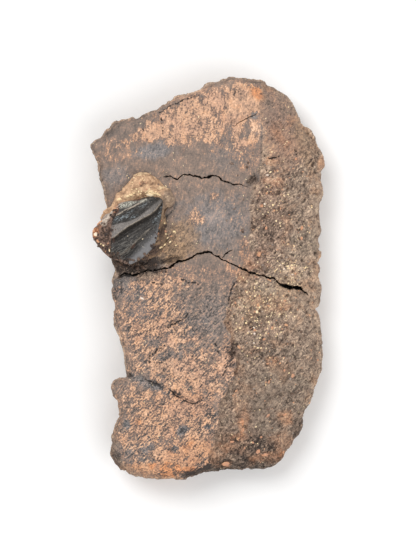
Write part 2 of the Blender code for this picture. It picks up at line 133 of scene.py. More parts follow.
# %% [markdown]
# ## Tools for sculpting
#
# A mesh is sculpted as a sculptor would work: a rough form is cut into small facets, softened, and
# then each point is pushed along its normal by a formula. Numpy holds all points at once, and
# Blender's own noise gives lumps, grains and cells of any size.


# %% Copy a solid and cut it fine
def merged_copy(node):
    """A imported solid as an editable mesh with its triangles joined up."""
    bm = bmesh.new()
    bm.from_mesh(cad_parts[node].data)
    bmesh.ops.remove_doubles(bm, verts=bm.verts, dist=1e-6)
    return bm


def cut_fine(bm, longest, rounds=9):
    """Splits each edge that is longer than longest(its middle) allows, again and again."""
    for _ in range(rounds):
        edges = list(bm.edges)
        ends = np.array([(*edge.verts[0].co, *edge.verts[1].co) for edge in edges]).reshape(-1, 2, 3)
        lengths = np.linalg.norm(ends[:, 1] - ends[:, 0], axis=1)
        too_long = lengths > longest(ends.mean(axis=1))
        long_edges = [edges[index] for index in np.flatnonzero(too_long)]
        if not long_edges:
            break
        bmesh.ops.subdivide_edges(bm, edges=long_edges, cuts=1)
        bmesh.ops.triangulate(bm, faces=[face for face in bm.faces if len(face.verts) > 3])
    return bm


def soften(bm, verts, passes, only_height=False):
    """Moves each point half way to the middle of its neighbours, again and again."""
    in_plan = not only_height
    for _ in range(passes):
        bmesh.ops.smooth_vert(
            bm, verts=verts, factor=0.5, use_axis_x=in_plan, use_axis_y=in_plan, use_axis_z=True
        )


def places_of(mesh):
    places = np.empty(len(mesh.vertices) * 3)
    mesh.vertices.foreach_get("co", places)
    return places.reshape(-1, 3)


def normals_of(mesh):
    normals = np.empty(len(mesh.vertices) * 3)
    mesh.vertex_normals.foreach_get("vector", normals)
    return normals.reshape(-1, 3)


def move_to(mesh, places):
    mesh.vertices.foreach_set("co", places.ravel())
    mesh.update()


def settle(mesh, places, node):
    """Moves the points there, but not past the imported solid's box. It returns where they are."""
    places = np.clip(places, *(np.array(corner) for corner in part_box(node)))
    move_to(mesh, places)
    return places


def blurred(mesh, values, passes):
    """The values averaged with those of neighbouring points, again and again."""
    ends = np.empty(len(mesh.edges) * 2, np.int64)
    mesh.edges.foreach_get("vertices", ends)
    first, second = ends.reshape(-1, 2).T
    count = np.bincount(ends, minlength=len(values))
    for _ in range(passes):
        near = np.bincount(first, values[second], len(values))
        near += np.bincount(second, values[first], len(values))
        values = (values + near / count) / 2.0
    return values


def tamed(mesh, heights, most, rounds=14):
    """The heights, with spikes cut down until few stand further than this from those round them."""
    for _ in range(rounds):
        middle = blurred(mesh, heights, 1)
        heights = middle + np.clip(heights - middle, -most, most)
    return heights


def note(mesh, name, values):
    """Keeps a number for each point of the mesh, for its material to read."""
    attribute = mesh.attributes.new(name, "FLOAT", "POINT")
    attribute.data.foreach_set("value", np.asarray(values, np.float32))


def add_piece(name, mesh, finish, slot, *nodes):
    """A finished mesh as a piece of the object, in place of these solids."""
    # Cutting can leave faces twice on the same corners, so the second ones are dropped.
    mesh.validate()
    mesh.materials.append(finish)
    mesh.shade_smooth()
    piece = bpy.data.objects.new(name, mesh)
    bpy.context.scene.collection.objects.link(piece)
    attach(piece, "root")
    if nodes:
        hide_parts(*nodes)
    print(name, len(mesh.polygons), "faces")
    return piece


# %% Noise and soft steps over many points
def rough_noise(places, size, seed, octaves=3):
    """Fractal noise of about -1 to 1 at each place, with lumps of this size."""
    shift = Vector((seed * 17.3, seed * 5.1, seed * 9.7))
    return np.array([noise.fractal(Vector(p) + shift, 1.0, 2.0, octaves) for p in places / size])


def cells(places, size, seed):
    """How raised each place is among cells of this size: 0 where two meet, and up to about 1."""
    shift = Vector((seed * 3.3, seed * 7.9, seed * 1.7))
    found = [noise.voronoi(Vector(p) + shift)[0][:2] for p in places / size]
    nearest, next_nearest = np.array(found).T
    return next_nearest - nearest


def soft_step(values, low, high):
    """0 below low and 1 above high, with a soft step between."""
    share = np.clip((values - low) / (high - low), 0.0, 1.0)
    return share * share * (3.0 - 2.0 * share)


def soft_spots(places, spots, ragged, seed):
    """Adds up soft ellipses: (x, y, half width, half height, turn in degrees, strength), in mm."""
    total = np.zeros(len(places))
    fray = 1.0 + ragged * rough_noise(places * (1.0, 1.0, 0.0), 3.5 * MM, seed)
    for x, y, half_width, half_height, turn, strength in spots:
        cosine, sine = math.cos(math.radians(turn)), math.sin(math.radians(turn))
        right = places[:, 0] / MM - x
        up = places[:, 1] / MM - y
        along = (right * cosine + up * sine) / half_width
        across = (up * cosine - right * sine) / half_height
        total += strength * (1.0 - soft_step(np.hypot(along, across) * fray, 0.55, 1.35))
    return total


def distance_to_line(places, line):
    """In plan: distance to the line in mm, and the line's last column where it is nearest."""
    points = places[:, :2] / MM
    line = np.array(line)
    nearest = np.full(len(points), np.inf)
    value = np.zeros(len(points))
    for start, end in zip(line, line[1:]):
        along = end[:2] - start[:2]
        share = np.clip(((points - start[:2]) @ along) / (along @ along), 0.0, 1.0)
        away = np.hypot(*(points - start[:2] - share[:, None] * along).T)
        closer = away < nearest
        nearest[closer] = away[closer]
        value[closer] = (start[-1] + (end[-1] - start[-1]) * share)[closer]
    return nearest, value


def note_spots(mesh, places, most, *rows):
    """Notes soft spots, from rows of (name, spots, how ragged their edges are, seed)."""
    for name, spots, ragged, seed in rows:
        note(mesh, name, np.clip(soft_spots(places, spots, ragged, seed), 0.0, most))


def distance_to_places(places, others):
    """How far each place is from the nearest of the others."""
    tree = KDTree(len(others))
    for index, other in enumerate(others):
        tree.insert(other, index)
    tree.balance()
    return np.array([tree.find(place)[2] for place in places])


def signed_side(places, line):
    """In plan and in mm: distance to the line, above zero on the left of its run."""
    points = places[:, :2] / MM
    line = np.array(line)
    nearest = np.full(len(points), np.inf)
    side = np.zeros(len(points))
    for start, end in zip(line, line[1:]):
        along = end[:2] - start[:2]
        out = points - start[:2]
        share = np.clip((out @ along) / (along @ along), 0.0, 1.0)
        away = np.hypot(*(out - share[:, None] * along).T)
        left = along[0] * out[:, 1] - along[1] * out[:, 0]
        closer = away < nearest
        nearest[closer] = away[closer]
        side[closer] = np.where(left > 0.0, away, -away)[closer]
    return side


# %% [markdown]
# ## Tools for materials
#
# A shader is a sum in which textures are mixed and scaled. Wrapping a socket in a small class lets
# the sum be written as plain arithmetic, and each sign adds its Math node.


# %% Shader arithmetic
class Wire:
    """A node's output. Arithmetic on it adds Math nodes."""

    def __init__(self, tree, socket):
        self.tree = tree
        self.socket = socket

    def maths(self, operation, first, second):
        return add_node(self.tree, "ShaderNodeMath", {"operation": operation}, {0: first, 1: second})

    def __add__(self, other):
        return self.maths("ADD", self, other)

    def __sub__(self, other):
        return self.maths("SUBTRACT", self, other)

    def __rsub__(self, other):
        return self.maths("SUBTRACT", other, self)

    def __mul__(self, other):
        return self.maths("MULTIPLY", self, other)

    def __pow__(self, other):
        return self.maths("POWER", self, other)

    __radd__ = __add__
    __rmul__ = __mul__

    def within(self, low, high):
        """0 below low and 1 above high, with a soft step between."""
        settings = {"interpolation_type": "SMOOTHSTEP"}
        return add_node(self.tree, "ShaderNodeMapRange", settings, {0: self, 1: low, 2: high})


def add_node(tree, kind, settings, inputs, output=0):
    """A node with its settings, then its inputs as values or wires. It returns one output as a wire."""
    node = tree.nodes.new(kind)
    for name, value in settings.items():
        setattr(node, name, value)
    for name, value in inputs.items():
        if isinstance(value, Wire):
            tree.links.new(value.socket, node.inputs[name])
        else:
            node.inputs[name].default_value = value
    return Wire(tree, node.outputs[output])


class Finish:
    """A material under construction, with the few textures that stone needs."""

    def __init__(self, name):
        self.material = bpy.data.materials.new(name)
        self.material.use_nodes = True
        self.tree = self.material.node_tree
        self.shader = self.tree.nodes["Principled BSDF"]
        self.places = self.node("ShaderNodeTexCoord", {}, {}, "Object")

    def node(self, kind, settings, inputs, output=0):
        return add_node(self.tree, kind, settings, inputs, output)

    def noted(self, name):
        """A number that was noted on the mesh."""
        return self.node("ShaderNodeAttribute", {"attribute_name": name}, {}, "Fac")

    def turned(self, degrees, stretch):
        """Places turned about Z, and then squeezed along their first axis so that lumps come out long."""
        inputs = {"Vector": self.places, "Rotation": (0.0, 0.0, math.radians(-degrees))}
        aligned = self.node("ShaderNodeMapping", {"vector_type": "POINT"}, inputs)
        return self.node("ShaderNodeMapping", {"vector_type": "POINT"}, {"Vector": aligned, "Scale": stretch})

    def grain(self, size, detail=3.0, roughness=0.55, places=None, warp=0.0):
        """Noise with lumps of this size."""
        inputs = {"Vector": places or self.places, "Scale": 1.0 / size, "Detail": detail}
        inputs |= {"Roughness": roughness, "Distortion": warp}
        return self.node("ShaderNodeTexNoise", {}, inputs)

    def streaks(self, size, degrees, length, warp=0.7):
        """Noise with flecks this many times as long as they are wide, at the angle."""
        return self.grain(size, 3.0, 0.6, self.turned(degrees, (1.0 / length, 1.0, 1.0)), warp)

    def ramp(self, factor, *stops):
        """Colours along the factor, from stops of (place, red, green, blue)."""
        made = self.node("ShaderNodeValToRGB", {}, {"Fac": factor})
        elements = made.socket.node.color_ramp.elements
        while len(elements) < len(stops):
            elements.new(0.5)
        for element, (place, *colour) in zip(elements, stops):
            element.position = place
            element.color = paint(*colour)
        return made

    def mix(self, factor, first, second, blend="MIX"):
        """The first colour where the factor is 0, and the second where it is 1."""
        settings = {"data_type": "RGBA", "blend_type": blend}
        return self.node("ShaderNodeMix", settings, {0: factor, 6: first, 7: second}, 2)

    def tinted(self, share, colours, tint):
        """The colours, multiplied by the tint over this share of the surface."""
        return self.mix(share, colours, self.mix(1.0, colours, (*tint, 1.0), "MULTIPLY"))

    def bump(self, height, distance, strength=1.0):
        inputs = {"Height": height, "Distance": distance, "Strength": strength}
        return self.node("ShaderNodeBump", {}, inputs)

    def feed(self, socket, value):
        """Sets an input of the material's shader."""
        if isinstance(value, Wire):
            self.tree.links.new(value.socket, self.shader.inputs[socket])
        else:
            self.shader.inputs[socket].default_value = value


def fleck_share(broad, fine):
    """The share of a surface that a frayed patch covers, from a broad and a fine noise."""
    return (broad * 0.6 + fine * 0.5).within(0.42, 0.6)


def paint(red, green, blue):
    """A screen colour of 0 to 255 as the linear colour that a shader takes."""
    return (*((((c / 255.0) + 0.055) / 1.055) ** 2.4 for c in (red, green, blue)), 1.0)

# %% [markdown]
# ## The frill bone: its form
#
# The slab lost its edges when it broke, so its walls are ragged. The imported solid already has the
# outline, the ledge where the smooth face ends, and the cracks, but in facets a few millimetres
# wide. The ledge and the cracks are filled in first, the surface is softened, and then both are
# carved again with jagged sides. Lumps, crumbs and pits come last.

# %% Lines on the slab, in mm
# Down the edge of the smooth face: x, y, and how far the rough side lies below it.
LEDGE = (
    (26, 85.5, 0.5), (26, 71, 0.7), (26, 61.5, 0.7), (24, 52, 0.8), (24.5, 47, 1), (20.5, 43.5, 0.8),
    (20.5, 30.5, 0.8), (20, 18.5, 0.8), (19.5, 9, 0.8), (15.5, 5, 1), (14, -3, 1.2), (11.5, -9, 1.2),
    (8, -22.5, 1.6), (11, -28, 2.2), (11, -34.5, 2.6), (13, -40, 2.6), (13, -46.5, 2.2),
    (10.5, -52.5, 2), (5, -58.5, 1.8), (5.5, -70.5, 1.8), (3, -77.5, 1.8), (0.5, -86.5, 1.8),
)
LEDGE_RUN = 1.2
# Along each crack: x, y and width.
CRACKS = (
    (
        (-43.0, 1.0, 0.0), (-37.5, 2.0, 0.9), (-30.0, 3.0, 1.8), (-23.0, 4.5, 2.4), (-18.0, 6.0, 1.8),
        (-14.5, 9.0, 1.2), (-8.5, 9.5, 0.9), (-4.0, 13.0, 0.9), (2.0, 12.0, 1.2), (10.5, 7.5, 1.2),
        (20.5, 2.5, 1.2), (31.5, 0.0, 1.3), (34.5, -3.0, 1.5), (38.5, -4.0, 2.8), (44.0, -5.0, 2.4),
        (48.5, -8.0, 0.0),
    ),
    ((6.0, 9.5, 0.0), (9.0, 12.0, 0.8), (12.5, 14.0, 0.0)),
    (
        (-23.0, 48.0, 0.0), (-18.0, 49.0, 0.8), (-15.0, 47.5, 0.8), (-11.0, 50.0, 0.9), (-6.5, 49.0, 1.2),
        (-2.5, 48.0, 1.2), (4.0, 49.5, 1.1), (6.5, 47.0, 1.0), (10.5, 45.5, 0.9), (16.0, 45.0, 0.8),
        (20.5, 43.5, 0.0),
    ),
    ((12.0, 72.5, 0.0), (15.5, 75.0, 0.8), (20.5, 77.5, 0.8), (24.5, 80.5, 0.0)),
    ((-30.5, -48.5, 0.0), (-23.0, -51.0, 1.0), (-14.0, -56.5, 1.2), (-8.0, -59.5, 1.0), (-3.5, -57.0, 0.0)),
)
# The first crack as it is carved here: its left part is thin and crooked.
CARVED_CRACK = (
    (-43, 1, 0.5), (-40, 2, 1.3), (-37.5, 2, 1), (-34.9, 1.4, 1.1), (-32, 3.1, 1), (-26.4, 3.6, 0.9),
    (-23, 4.4, 0.9), (-18.8, 4.8, 1.2), (-16.6, 6.6, 1.7), (-13.8, 8, 1.4), (-10.4, 8.6, 1.1),
    (-5.6, 11.2, 1.1), (-2, 12.8, 1.1), (2, 12, 1.3), (10.5, 7.5, 1.2), (20.5, 2.5, 1.2),
    (31.5, 0, 1.3), (34.5, -3, 1.5), (38.5, -4, 2.8), (44, -5, 2.4), (48.5, -8, 0),
)
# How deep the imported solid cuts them, and how deep they are here, for each millimetre of width.
PLAIN_CRACK_DEPTH = 1.8
CRACK_DEPTH = 3.2
# How much of its plain width each open crack keeps here, because their sides stray by more.
CRACK_SHARES = (0.8, 0.9, 0.6, 0.5)
# Hair cracks and scratches: x, y and width.
HAIR_CRACKS = (
    ((-26.8, -2.0, 0.4), (-24.0, -2.6, 0.6), (-21.0, -2.3, 0.3)),
    ((-12.8, -0.4, 0.4), (-8.5, -2.3, 0.7), (-6.0, -1.8, 0.5), (-3.7, -3.2, 0.4)),
    ((-28.3, -40.5, 0.4), (-27.7, -37.0, 0.7), (-23.4, -34.0, 0.6), (-19.6, -31.0, 0.3)),
    ((-20.5, -24.8, 0.4), (-17.2, -22.4, 0.7), (-12.8, -20.4, 0.7), (-7.1, -15.2, 0.3)),
    ((-22.9, 77.4, 0.3), (-22.0, 73.5, 0.5), (-21.5, 69.7, 0.3)),
    ((-31.1, 72.1, 0.3), (-29.0, 67.0, 0.5), (-28.0, 64.8, 0.2)),
    ((3.0, -31.0, 0.4), (5.5, -35.5, 0.6), (8.8, -39.0, 0.5)),
    ((6.7, -47.3, 0.4), (9.1, -44.0, 0.7), (8.3, -40.7, 0.4)),
    ((-43.2, 0.0, 0.8), (-38.5, 1.2, 1.2), (-33.9, 1.6, 0.8)),
    ((-26.0, 78.6, 0.2), (-22.0, 80.2, 0.4), (-17.0, 82.8, 0.6), (-9.0, 86.5, 0.4), (-3.0, 88.5, 0.2)),
    ((27.0, 58.6, 0.5), (30.5, 57.0, 1.1), (34.0, 58.6, 0.5)),
    ((41.4, 61.5, 0.3), (42.6, 60.2, 0.9), (43.0, 59.0, 0.3)),
    ((14.0, -1.5, 0.4), (11.0, -6.0, 0.9), (10.0, -12.0, 0.5)),
    ((-30.0, -48.8, 0.2), (-27.5, -49.4, 0.45), (-25.0, -50.2, 0.4), (-22.5, -51.6, 0.1)),
    ((-18.5, -53.4, 0.2), (-16.6, -55.0, 0.5), (-14.6, -56.6, 0.5), (-13.0, -57.8, 0.2)),
    ((-11.4, -58.4, 0.3), (-9.0, -59.6, 0.6), (-5.5, -59.8, 0.6), (-3.0, -57.6, 0.2)),
)


def cracks_at(places, cracks, shares):
    """How near the nearest crack is, as a share of its half width, and its width there in mm."""
    nearness = np.zeros(len(places))
    width = np.zeros(len(places))
    for line, share in zip(cracks, shares):
        away, wide = distance_to_line(places, line)
        near = np.clip(1.0 - away / np.maximum(share * wide / 2.0, 0.05), 0.0, 1.0)
        better = near > nearness
        nearness[better] = near[better]
        width[better] = wide[better]
    return nearness, width


def line_nearness(places, line, width):
    """1 on the line, and 0 past half its width in mm."""
    return 1.0 - soft_step(distance_to_line(places, line)[0], 0.0, width / 2.0)


def past_ledge(places):
    """In mm: how far right of the ledge each place is, and the drop there."""
    xs, ys, drops = np.array(LEDGE)[::-1].T
    heights = places[:, 1] / MM
    return places[:, 0] / MM - np.interp(heights, ys, xs), np.interp(heights, ys, drops)


# %% Cut the slab fine, and soften it
TOP_FACET = 0.94 * MM
CRACK_FACET = 0.42 * MM
WALL_FACET = 1.5 * MM
UNDER_FACET = 5.0 * MM
WALL_LEVEL = 15.0 * MM
UNDER_LEVEL = 2.0 * MM
CRACK_REACH = 1.2


def frill_facets(middles):
    limits = np.full(len(middles), WALL_FACET)
    limits[middles[:, 2] > WALL_LEVEL] = TOP_FACET
    limits[middles[:, 2] < UNDER_LEVEL] = UNDER_FACET
    top = middles[:, 2] > WALL_LEVEL
    for line in (CARVED_CRACK, *CRACKS[:-1]):
        limits[top & (distance_to_line(middles, line)[0] < CRACK_REACH)] = CRACK_FACET
    return limits


bm = cut_fine(merged_copy("frill_bone"), frill_facets)
# How upright a normal has to be on the face, and inside a crack.
FACE_TILT = 0.4
CRACK_TILT = 0.02
upward_verts = [vert for vert in bm.verts if vert.co.z > WALL_LEVEL and vert.normal.z > CRACK_TILT]
upward_places = np.array([vert.co for vert in upward_verts])
in_crack = cracks_at(upward_places, CRACKS, [1.3] * len(CRACKS))[0] > 0.0
top_verts = [
    vert for vert, crack_shade in zip(upward_verts, in_crack) if crack_shade or vert.normal.z > FACE_TILT
]
top_places = np.array([vert.co for vert in top_verts])
across, drop = past_ledge(top_places)
nearness, width = cracks_at(top_places, CRACKS, [1.0] * len(CRACKS))
filling = drop * soft_step(across, 0.0, LEDGE_RUN) + PLAIN_CRACK_DEPTH * width * nearness
for vert, height in zip(top_verts, filling):
    vert.co.z += height * MM
soften(bm, bm.verts, passes=4)
soften(bm, top_verts, passes=16, only_height=True)
frill_mesh = as_mesh(bm, "frill_skin")
print("frill", len(frill_mesh.polygons), "faces")

# %% Say where each part of the surface is
# How far a point may stand out from its neighbours, and the levels that bound the face and the walls.
SPIKE = 0.25 * MM
FACE_LEVELS = (12.0 * MM, 17.0 * MM)
CRACK_FLOOR = 20.0 * MM
LOW_WALL = 10.0 * MM
places = places_of(frill_mesh)
levels = places[:, 2]
levels[:] = np.where(levels > WALL_LEVEL, tamed(frill_mesh, levels, SPIKE), levels)
move_to(frill_mesh, places)
normals = normals_of(frill_mesh)
# 1 on the broad face, and 0 on the walls and underneath.
face = soft_step(normals[:, 2], 0.35, 0.75) * soft_step(levels, *FACE_LEVELS)
by_crack = cracks_at(places, CRACKS, [2.0] * len(CRACKS))[0] > 0.0
face = np.maximum(face, by_crack & (levels > CRACK_FLOOR))
rim_away = distance_to_places(places, places[(face < 0.5) & (levels > LOW_WALL)]) / MM
fray = 1.6 * rough_noise(places, 4.5 * MM, 1, 4)
across, drop = past_ledge(places)
STEEP = ((11, -36, 7, 14, 0, 1),)
steep = soft_spots(places, STEEP, 0.0, 1)
rough = soft_step(across + fray, -0.9 + 0.7 * steep, 0.9 - 0.5 * steep)
DEBRIS = ((-36, 5, 12, 4.6, -8, 1.1), (-18, 9, 6, 2, 15, 0.6), (21.5, 47, 3, 2.6, 30, 0.9))
debris = soft_spots(places, DEBRIS, 0.5, 19)
rough = np.maximum(rough, np.minimum(debris, 1.0))
UPPER_RIGHT = ((34.7, 74, 12.5, 22, 8, 1),)
calm = soft_spots(places, UPPER_RIGHT, 0.35, 2) * rough
stray = np.stack([rough_noise(places, 3.0 * MM, seed, 4) for seed in (3, 4, 5)], 1)
fraying = [rough_noise(places, 1.3 * MM, seed, 2) for seed in (83, 84)]
frayed = np.stack([*fraying, np.zeros(len(places))], 1)
jagged = places + MM * (0.6 * stray + 0.3 * frayed)
shares = [share * (1.15 + 0.7 * rough_noise(places, 2.5 * MM, 75)) for share in CRACK_SHARES]
nearness, width = cracks_at(jagged, (CARVED_CRACK, *CRACKS[1:-1]), shares)
crack = soft_step(nearness, 0.0, 0.6)
# The last crack has healed over, so only a shallow seam is left of it.
SEAM_WIDTH = 3.2
seam = line_nearness(jagged, CRACKS[-1], SEAM_WIDTH)
hair = soft_step(cracks_at(jagged, HAIR_CRACKS, [1.5] * len(HAIR_CRACKS))[0], 0.0, 0.9)

# %% [markdown]
# Each kind of surface has its own relief. The smooth face undulates gently, with fine grooves that
# slant on its lower part. The rough side is crumbs of all sizes with pits between them, and the
# walls are broken spongy bone, so they are deeply pitted.

# %% Pits and humps, as (x, y, half width, half height, turn in degrees, strength) in mm

PITS = (
    (27, 42, 1.9, 1.1, -10, 1), (33, 41, 2.2, 1, 10, 1), (52, 12, 0.9, 0.9, 0, 1.4),
    (21.4, 47.4, 1.6, 1, 20, 1), (19.4, 46, 0.9, 0.6, 0, 0.8), (-18, 8.8, 4.5, 1.2, 12, 1.3),
    (29, 20, 3, 2, -40, 0.6), (44, 15, 2.2, 1.4, 0, 0.8), (22.5, -0.5, 2.4, 2.2, 0, 0.7),
    (11.5, -35, 2, 4, -10, 0.8), (12.5, -41, 2, 1.6, 0, 0.6), (-16.3, -21.6, 1.6, 1.4, 0, 0.8),
    (-15.8, -24.6, 0.9, 1.1, 0, 0.5), (31, -21, 4, 2, 25, 0.5), (22, -48, 3.2, 1.8, 20, 0.7),
    (34, -56, 4, 2, 35, 0.5), (40, -62, 2.4, 1.5, 30, 0.5), (-38, -46.5, 2.4, 1, -20, 0.9),
    (-28.5, 1, 12, 2.2, 6, 0.7), (27, 29.5, 1.6, 1.2, 0, 0.6), (29.5, 45.5, 3, 1, 20, 0.5),
    (40, 30, 2.6, 1.4, 40, 0.5), (24, 33, 1.6, 1.2, 0, 0.6), (52.8, 57, 1.2, 2.4, 15, 1),
    (13.5, -60, 3, 1.6, 0, 0.5), (26, -70, 3.4, 1.6, 40, 0.5),
)
HUMPS = (
    (27, 5, 1.6, 1.5, 0, 1.2), (24.6, 10.6, 1.2, 1.8, 20, 0.7), (18.8, 11.5, 1.8, 4, 10, 0.7),
    (30.5, 56, 4, 1.6, 0, 0.7), (35, 45.5, 5, 1.4, -15, 0.8), (9, -89.5, 2.2, 1.3, 0, 1.3),
    (30, -86.5, 3, 1.6, 0, 0.9), (20.5, 8, 3.2, 1, 35, 0.6), (40, -15, 5, 2.4, 60, 0.5),
    (31.5, -32, 5, 2, 0, 0.5), (22, -68, 2.2, 4, 15, 0.5), (-19, -16, 6, 3, 40, 0.3),
    (6.5, -41, 3, 3.4, 0, 0.5), (12, -40, 2, 3.4, 20, 0.5), (-10, -54, 6, 2.2, 10, 0.5),
    (-22, 81, 8, 1, 25, 0.5), (55, 55, 1.6, 3, 0, 0.6), (28, 47, 4, 1.6, 0, 0.5),
)

# %% Carve the relief
LOW_FACE = 8.0 * MM
SWELL = 0.3
def slanting(places, degrees, stretch):
    """The places turned by the angle, and squeezed along it so that grooves come out long."""
    turn = np.array(Matrix.Rotation(math.radians(-degrees), 3, "Z"))
    return places @ turn.T * (1.0 / stretch, 1.0, 1.0)


# 1 on the lower part of the slab, and 0 on the upper part.
low = soft_step(-places[:, 1], -LOW_FACE, LOW_FACE)
grooves = rough_noise(slanting(places, 45.0, 3.4), 1.5 * MM, 6) * (0.3 + 0.7 * low)
gentle = 0.24 * rough_noise(places, 6.5 * MM, 7) + 0.16 * rough_noise(places, 1.7 * MM, 8) + 0.2 * grooves
crumbs = 0.34 * cells(places, 2.1 * MM, 9) + 0.26 * cells(places, 1.2 * MM, 10)
gaps = soft_step(rough_noise(places, 3.0 * MM, 11), 0.2, 0.6)
fibres = rough_noise(slanting(places, 48.0, 3.6), 1.5 * MM, 16)
crumbly = 0.8 * rough_noise(places, 9.0 * MM, 12) + 0.55 * rough_noise(places, 3.4 * MM, 17) + 0.8 * crumbs
crumbly += 0.4 * fibres - 0.7 * gaps - 0.2
broken = 0.9 * rough_noise(places, 5.0 * MM, 13) + 0.8 * crumbs - 0.9 * gaps + 0.2
relief = gentle + rough * (1.0 - 0.72 * calm) * (crumbly - gentle)
relief += soft_spots(places, HUMPS, 0.3, 14) - soft_spots(places, PITS, 0.45, 15)
relief -= 0.55 * hair + 0.6 * seam
flaked = 1.0 - soft_step(rim_away + 1.1 * rough_noise(places, 3.0 * MM, 18), 1.6, 2.6)
relief -= 0.5 * flaked * (1.0 - rough)
relief = face * relief + (1.0 - face) * broken
under = soft_step(-normals[:, 2], 0.5, 0.9)
relief *= 1.0 - 0.75 * under
carving = drop * soft_step(across + fray, -1.2 + 0.9 * steep, 2.6 - 2.0 * steep)
carving = face * (carving + CRACK_DEPTH * width * crack)
places += normals * ((relief + SWELL) * MM)[:, None]
places[:, 2] -= carving * MM
places = settle(frill_mesh, places, "frill_bone")
# How far each point lies below its neighbours: the material paints shade into these hollows.
cavity_shade = relief - blurred(frill_mesh, relief, 6)
print("relief", round(relief.min(), 2), "to", round(relief.max(), 2), "mm")

# %% [markdown]
# ## The frill bone: its colours
#
# The smooth face is grey-purple bone under a patchy salmon coat. Soft ellipses with frayed edges say
# how much coat there is, and where the bone is blue-grey, ochre, rusty or dark. The dark is partly
# stains and partly painted shadow. Fine noise in the material then breaks each of them up into flecks.

# %% Patches, as (x, y, half width, half height, turn in degrees, strength) in mm
SALMON = (
    (-1, 78, 24, 12.5, 10, 0.95), (-28, 70, 11, 4, 22, 0.78), (-24, -24, 6, 4, 20, 0.25),
    (-24, -42, 6, 3, 20, 0.25), (-43.5, 61, 8, 7, 0, 0.38), (-17, 66, 8, 4, 0, 0.2),
    (9, 66, 10, 6, 0, 0.35), (23.5, 72, 4, 5.5, 0, 0.6), (15, 84, 9, 6, 20, 0.25),
    (14, 77, 8, 4, 25, 0.3), (19, 60, 7, 10, 0, 0.4), (22.5, 87.5, 9, 6, -15, 0.9),
    (3.5, 39.5, 2.6, 2.2, 0, 0.6), (-6.2, 28.7, 4.6, 4.6, 10, 0.66), (18.4, 12.5, 3.5, 7, 0, 0.65),
    (13, -1.5, 5, 7, 0, 0.4), (-27, -22, 19, 25, 0, 0.62), (-8, -44, 15, 11, 0, 0.7),
    (9.5, -41, 4.5, 10, 0, 0.75), (-17, -71, 27, 22, 0, 0.7), (-8.5, -84, 18, 8, 4, 0.4),
    (-10, 2, 26, 5, 0, 0.35), (-2, -13, 9, 8, 10, -0.2), (-35, -26, 6, 4.5, 0, 0.2),
    (-37, -87, 9, 7, 20, 0.1), (-25, -51.5, 11, 1.6, -22, -0.4), (-21, -37.5, 4, 2.2, 20, -0.5),
    (-34, -14, 5, 7, 0, -0.25), (6, 73, 9, 6, 0, -0.35), (8, 80.5, 6, 3, 0, -0.2),
    (-14, -35.5, 5, 4, 0, -0.5), (-17.5, -79.5, 8, 3.6, 8, -0.45), (-27, -92, 16, 3.4, -6, 0.55),
    (-27, -30, 4, 3, 0, -0.3), (-12, -29, 7, 3.6, 0, 0.35), (-5, -59.5, 7, 3, 20, 0.4),
    (-35, -55, 7, 5, 0, 0.25), (12, 33, 10, 10, 0, 0.16), (-12.2, -73, 3, 2.2, 20, -0.6),
    (-29, -81, 4, 3, 40, -0.3), (-15.2, -82, 2.4, 1.8, 0, -0.5), (-0.4, -71.4, 1.6, 1.2, 0, -0.45),
    (-38.8, -70.4, 1.8, 2.4, 0, -0.5),
)
HOT = (
    (23.5, 89, 4.6, 3, -40, 1.3), (-8.5, -85, 18, 7, 6, 0.85), (16, 6, 6, 9, 0, 0.6),
    (-20, -66, 26, 18, 0, 0.3), (37.5, -67, 4, 3.6, -20, 0.9), (36, -78, 6, 5, -40, 0.5),
    (15.8, -70.5, 1.6, 4, 10, 0.8), (31, -39.5, 3.4, 2.4, 0, 0.8), (30, -86.5, 10, 2.6, 0, 0.9),
    (-42, 60, 9, 7, 0, 0.25), (28, -12, 10, 4, -10, 0.6), (9, -89.5, 2.6, 1.6, 0, 1),
    (18, -68, 2, 6, 0, 0.7), (55, 55, 2, 4, 0, 0.7), (36, 64, 8, 10, 0, 0.25), (16, -76, 3, 2, 0, 0.6),
    (-30, -20, 10, 20, 0, 0.2), (31, 56, 4, 2, 0, 0.5), (33, 46, 5, 2, -10, 0.5),
    (-33, -69, 1.6, 2.2, 0, 0.8), (-6, -54, 10, 6, 0, 0.2), (-27, -92.5, 16, 4, -6, 0.8),
    (9, -24, 3, 10, 5, 0.5), (-16, -93, 7, 2.6, 0, 1),
)
BLUE = (
    (-26, 61, 10, 4, 10, 0.9), (-44, 49, 7, 5, 0, 0.6), (4, 28, 17, 13, 0, 0.7),
    (-38, -4, 8, 6, 0, 0.5), (-34, -83, 10, 8, 0, 0.45), (10, 62, 10, 10, 0, 0.35),
    (-10, 20, 7, 5, 0, 0.4), (24, 71, 4, 5, 0, 0.3), (-12.2, -73, 3.6, 2.8, 20, 0.9),
    (3, -18, 7, 12, 0, 0.3), (2, -65.8, 2.4, 2.2, 0, 1), (-27, -51.5, 12, 2.4, -21, 0.65),
    (-29, -80, 6, 5, 30, 0.5), (-20, -28, 18, 20, 0, 0.35), (22, 82, 2.6, 4, 0, 0.8),
    (-30, -12, 10, 8, 0, 0.35), (34, 78, 9, 12, 0, 0.35), (-15.2, -82, 2.6, 2, 0, 0.9),
    (-0.4, -71.4, 2.2, 1.8, 0, 0.9), (-38.8, -70.4, 2, 2.6, 0, 0.9),
)
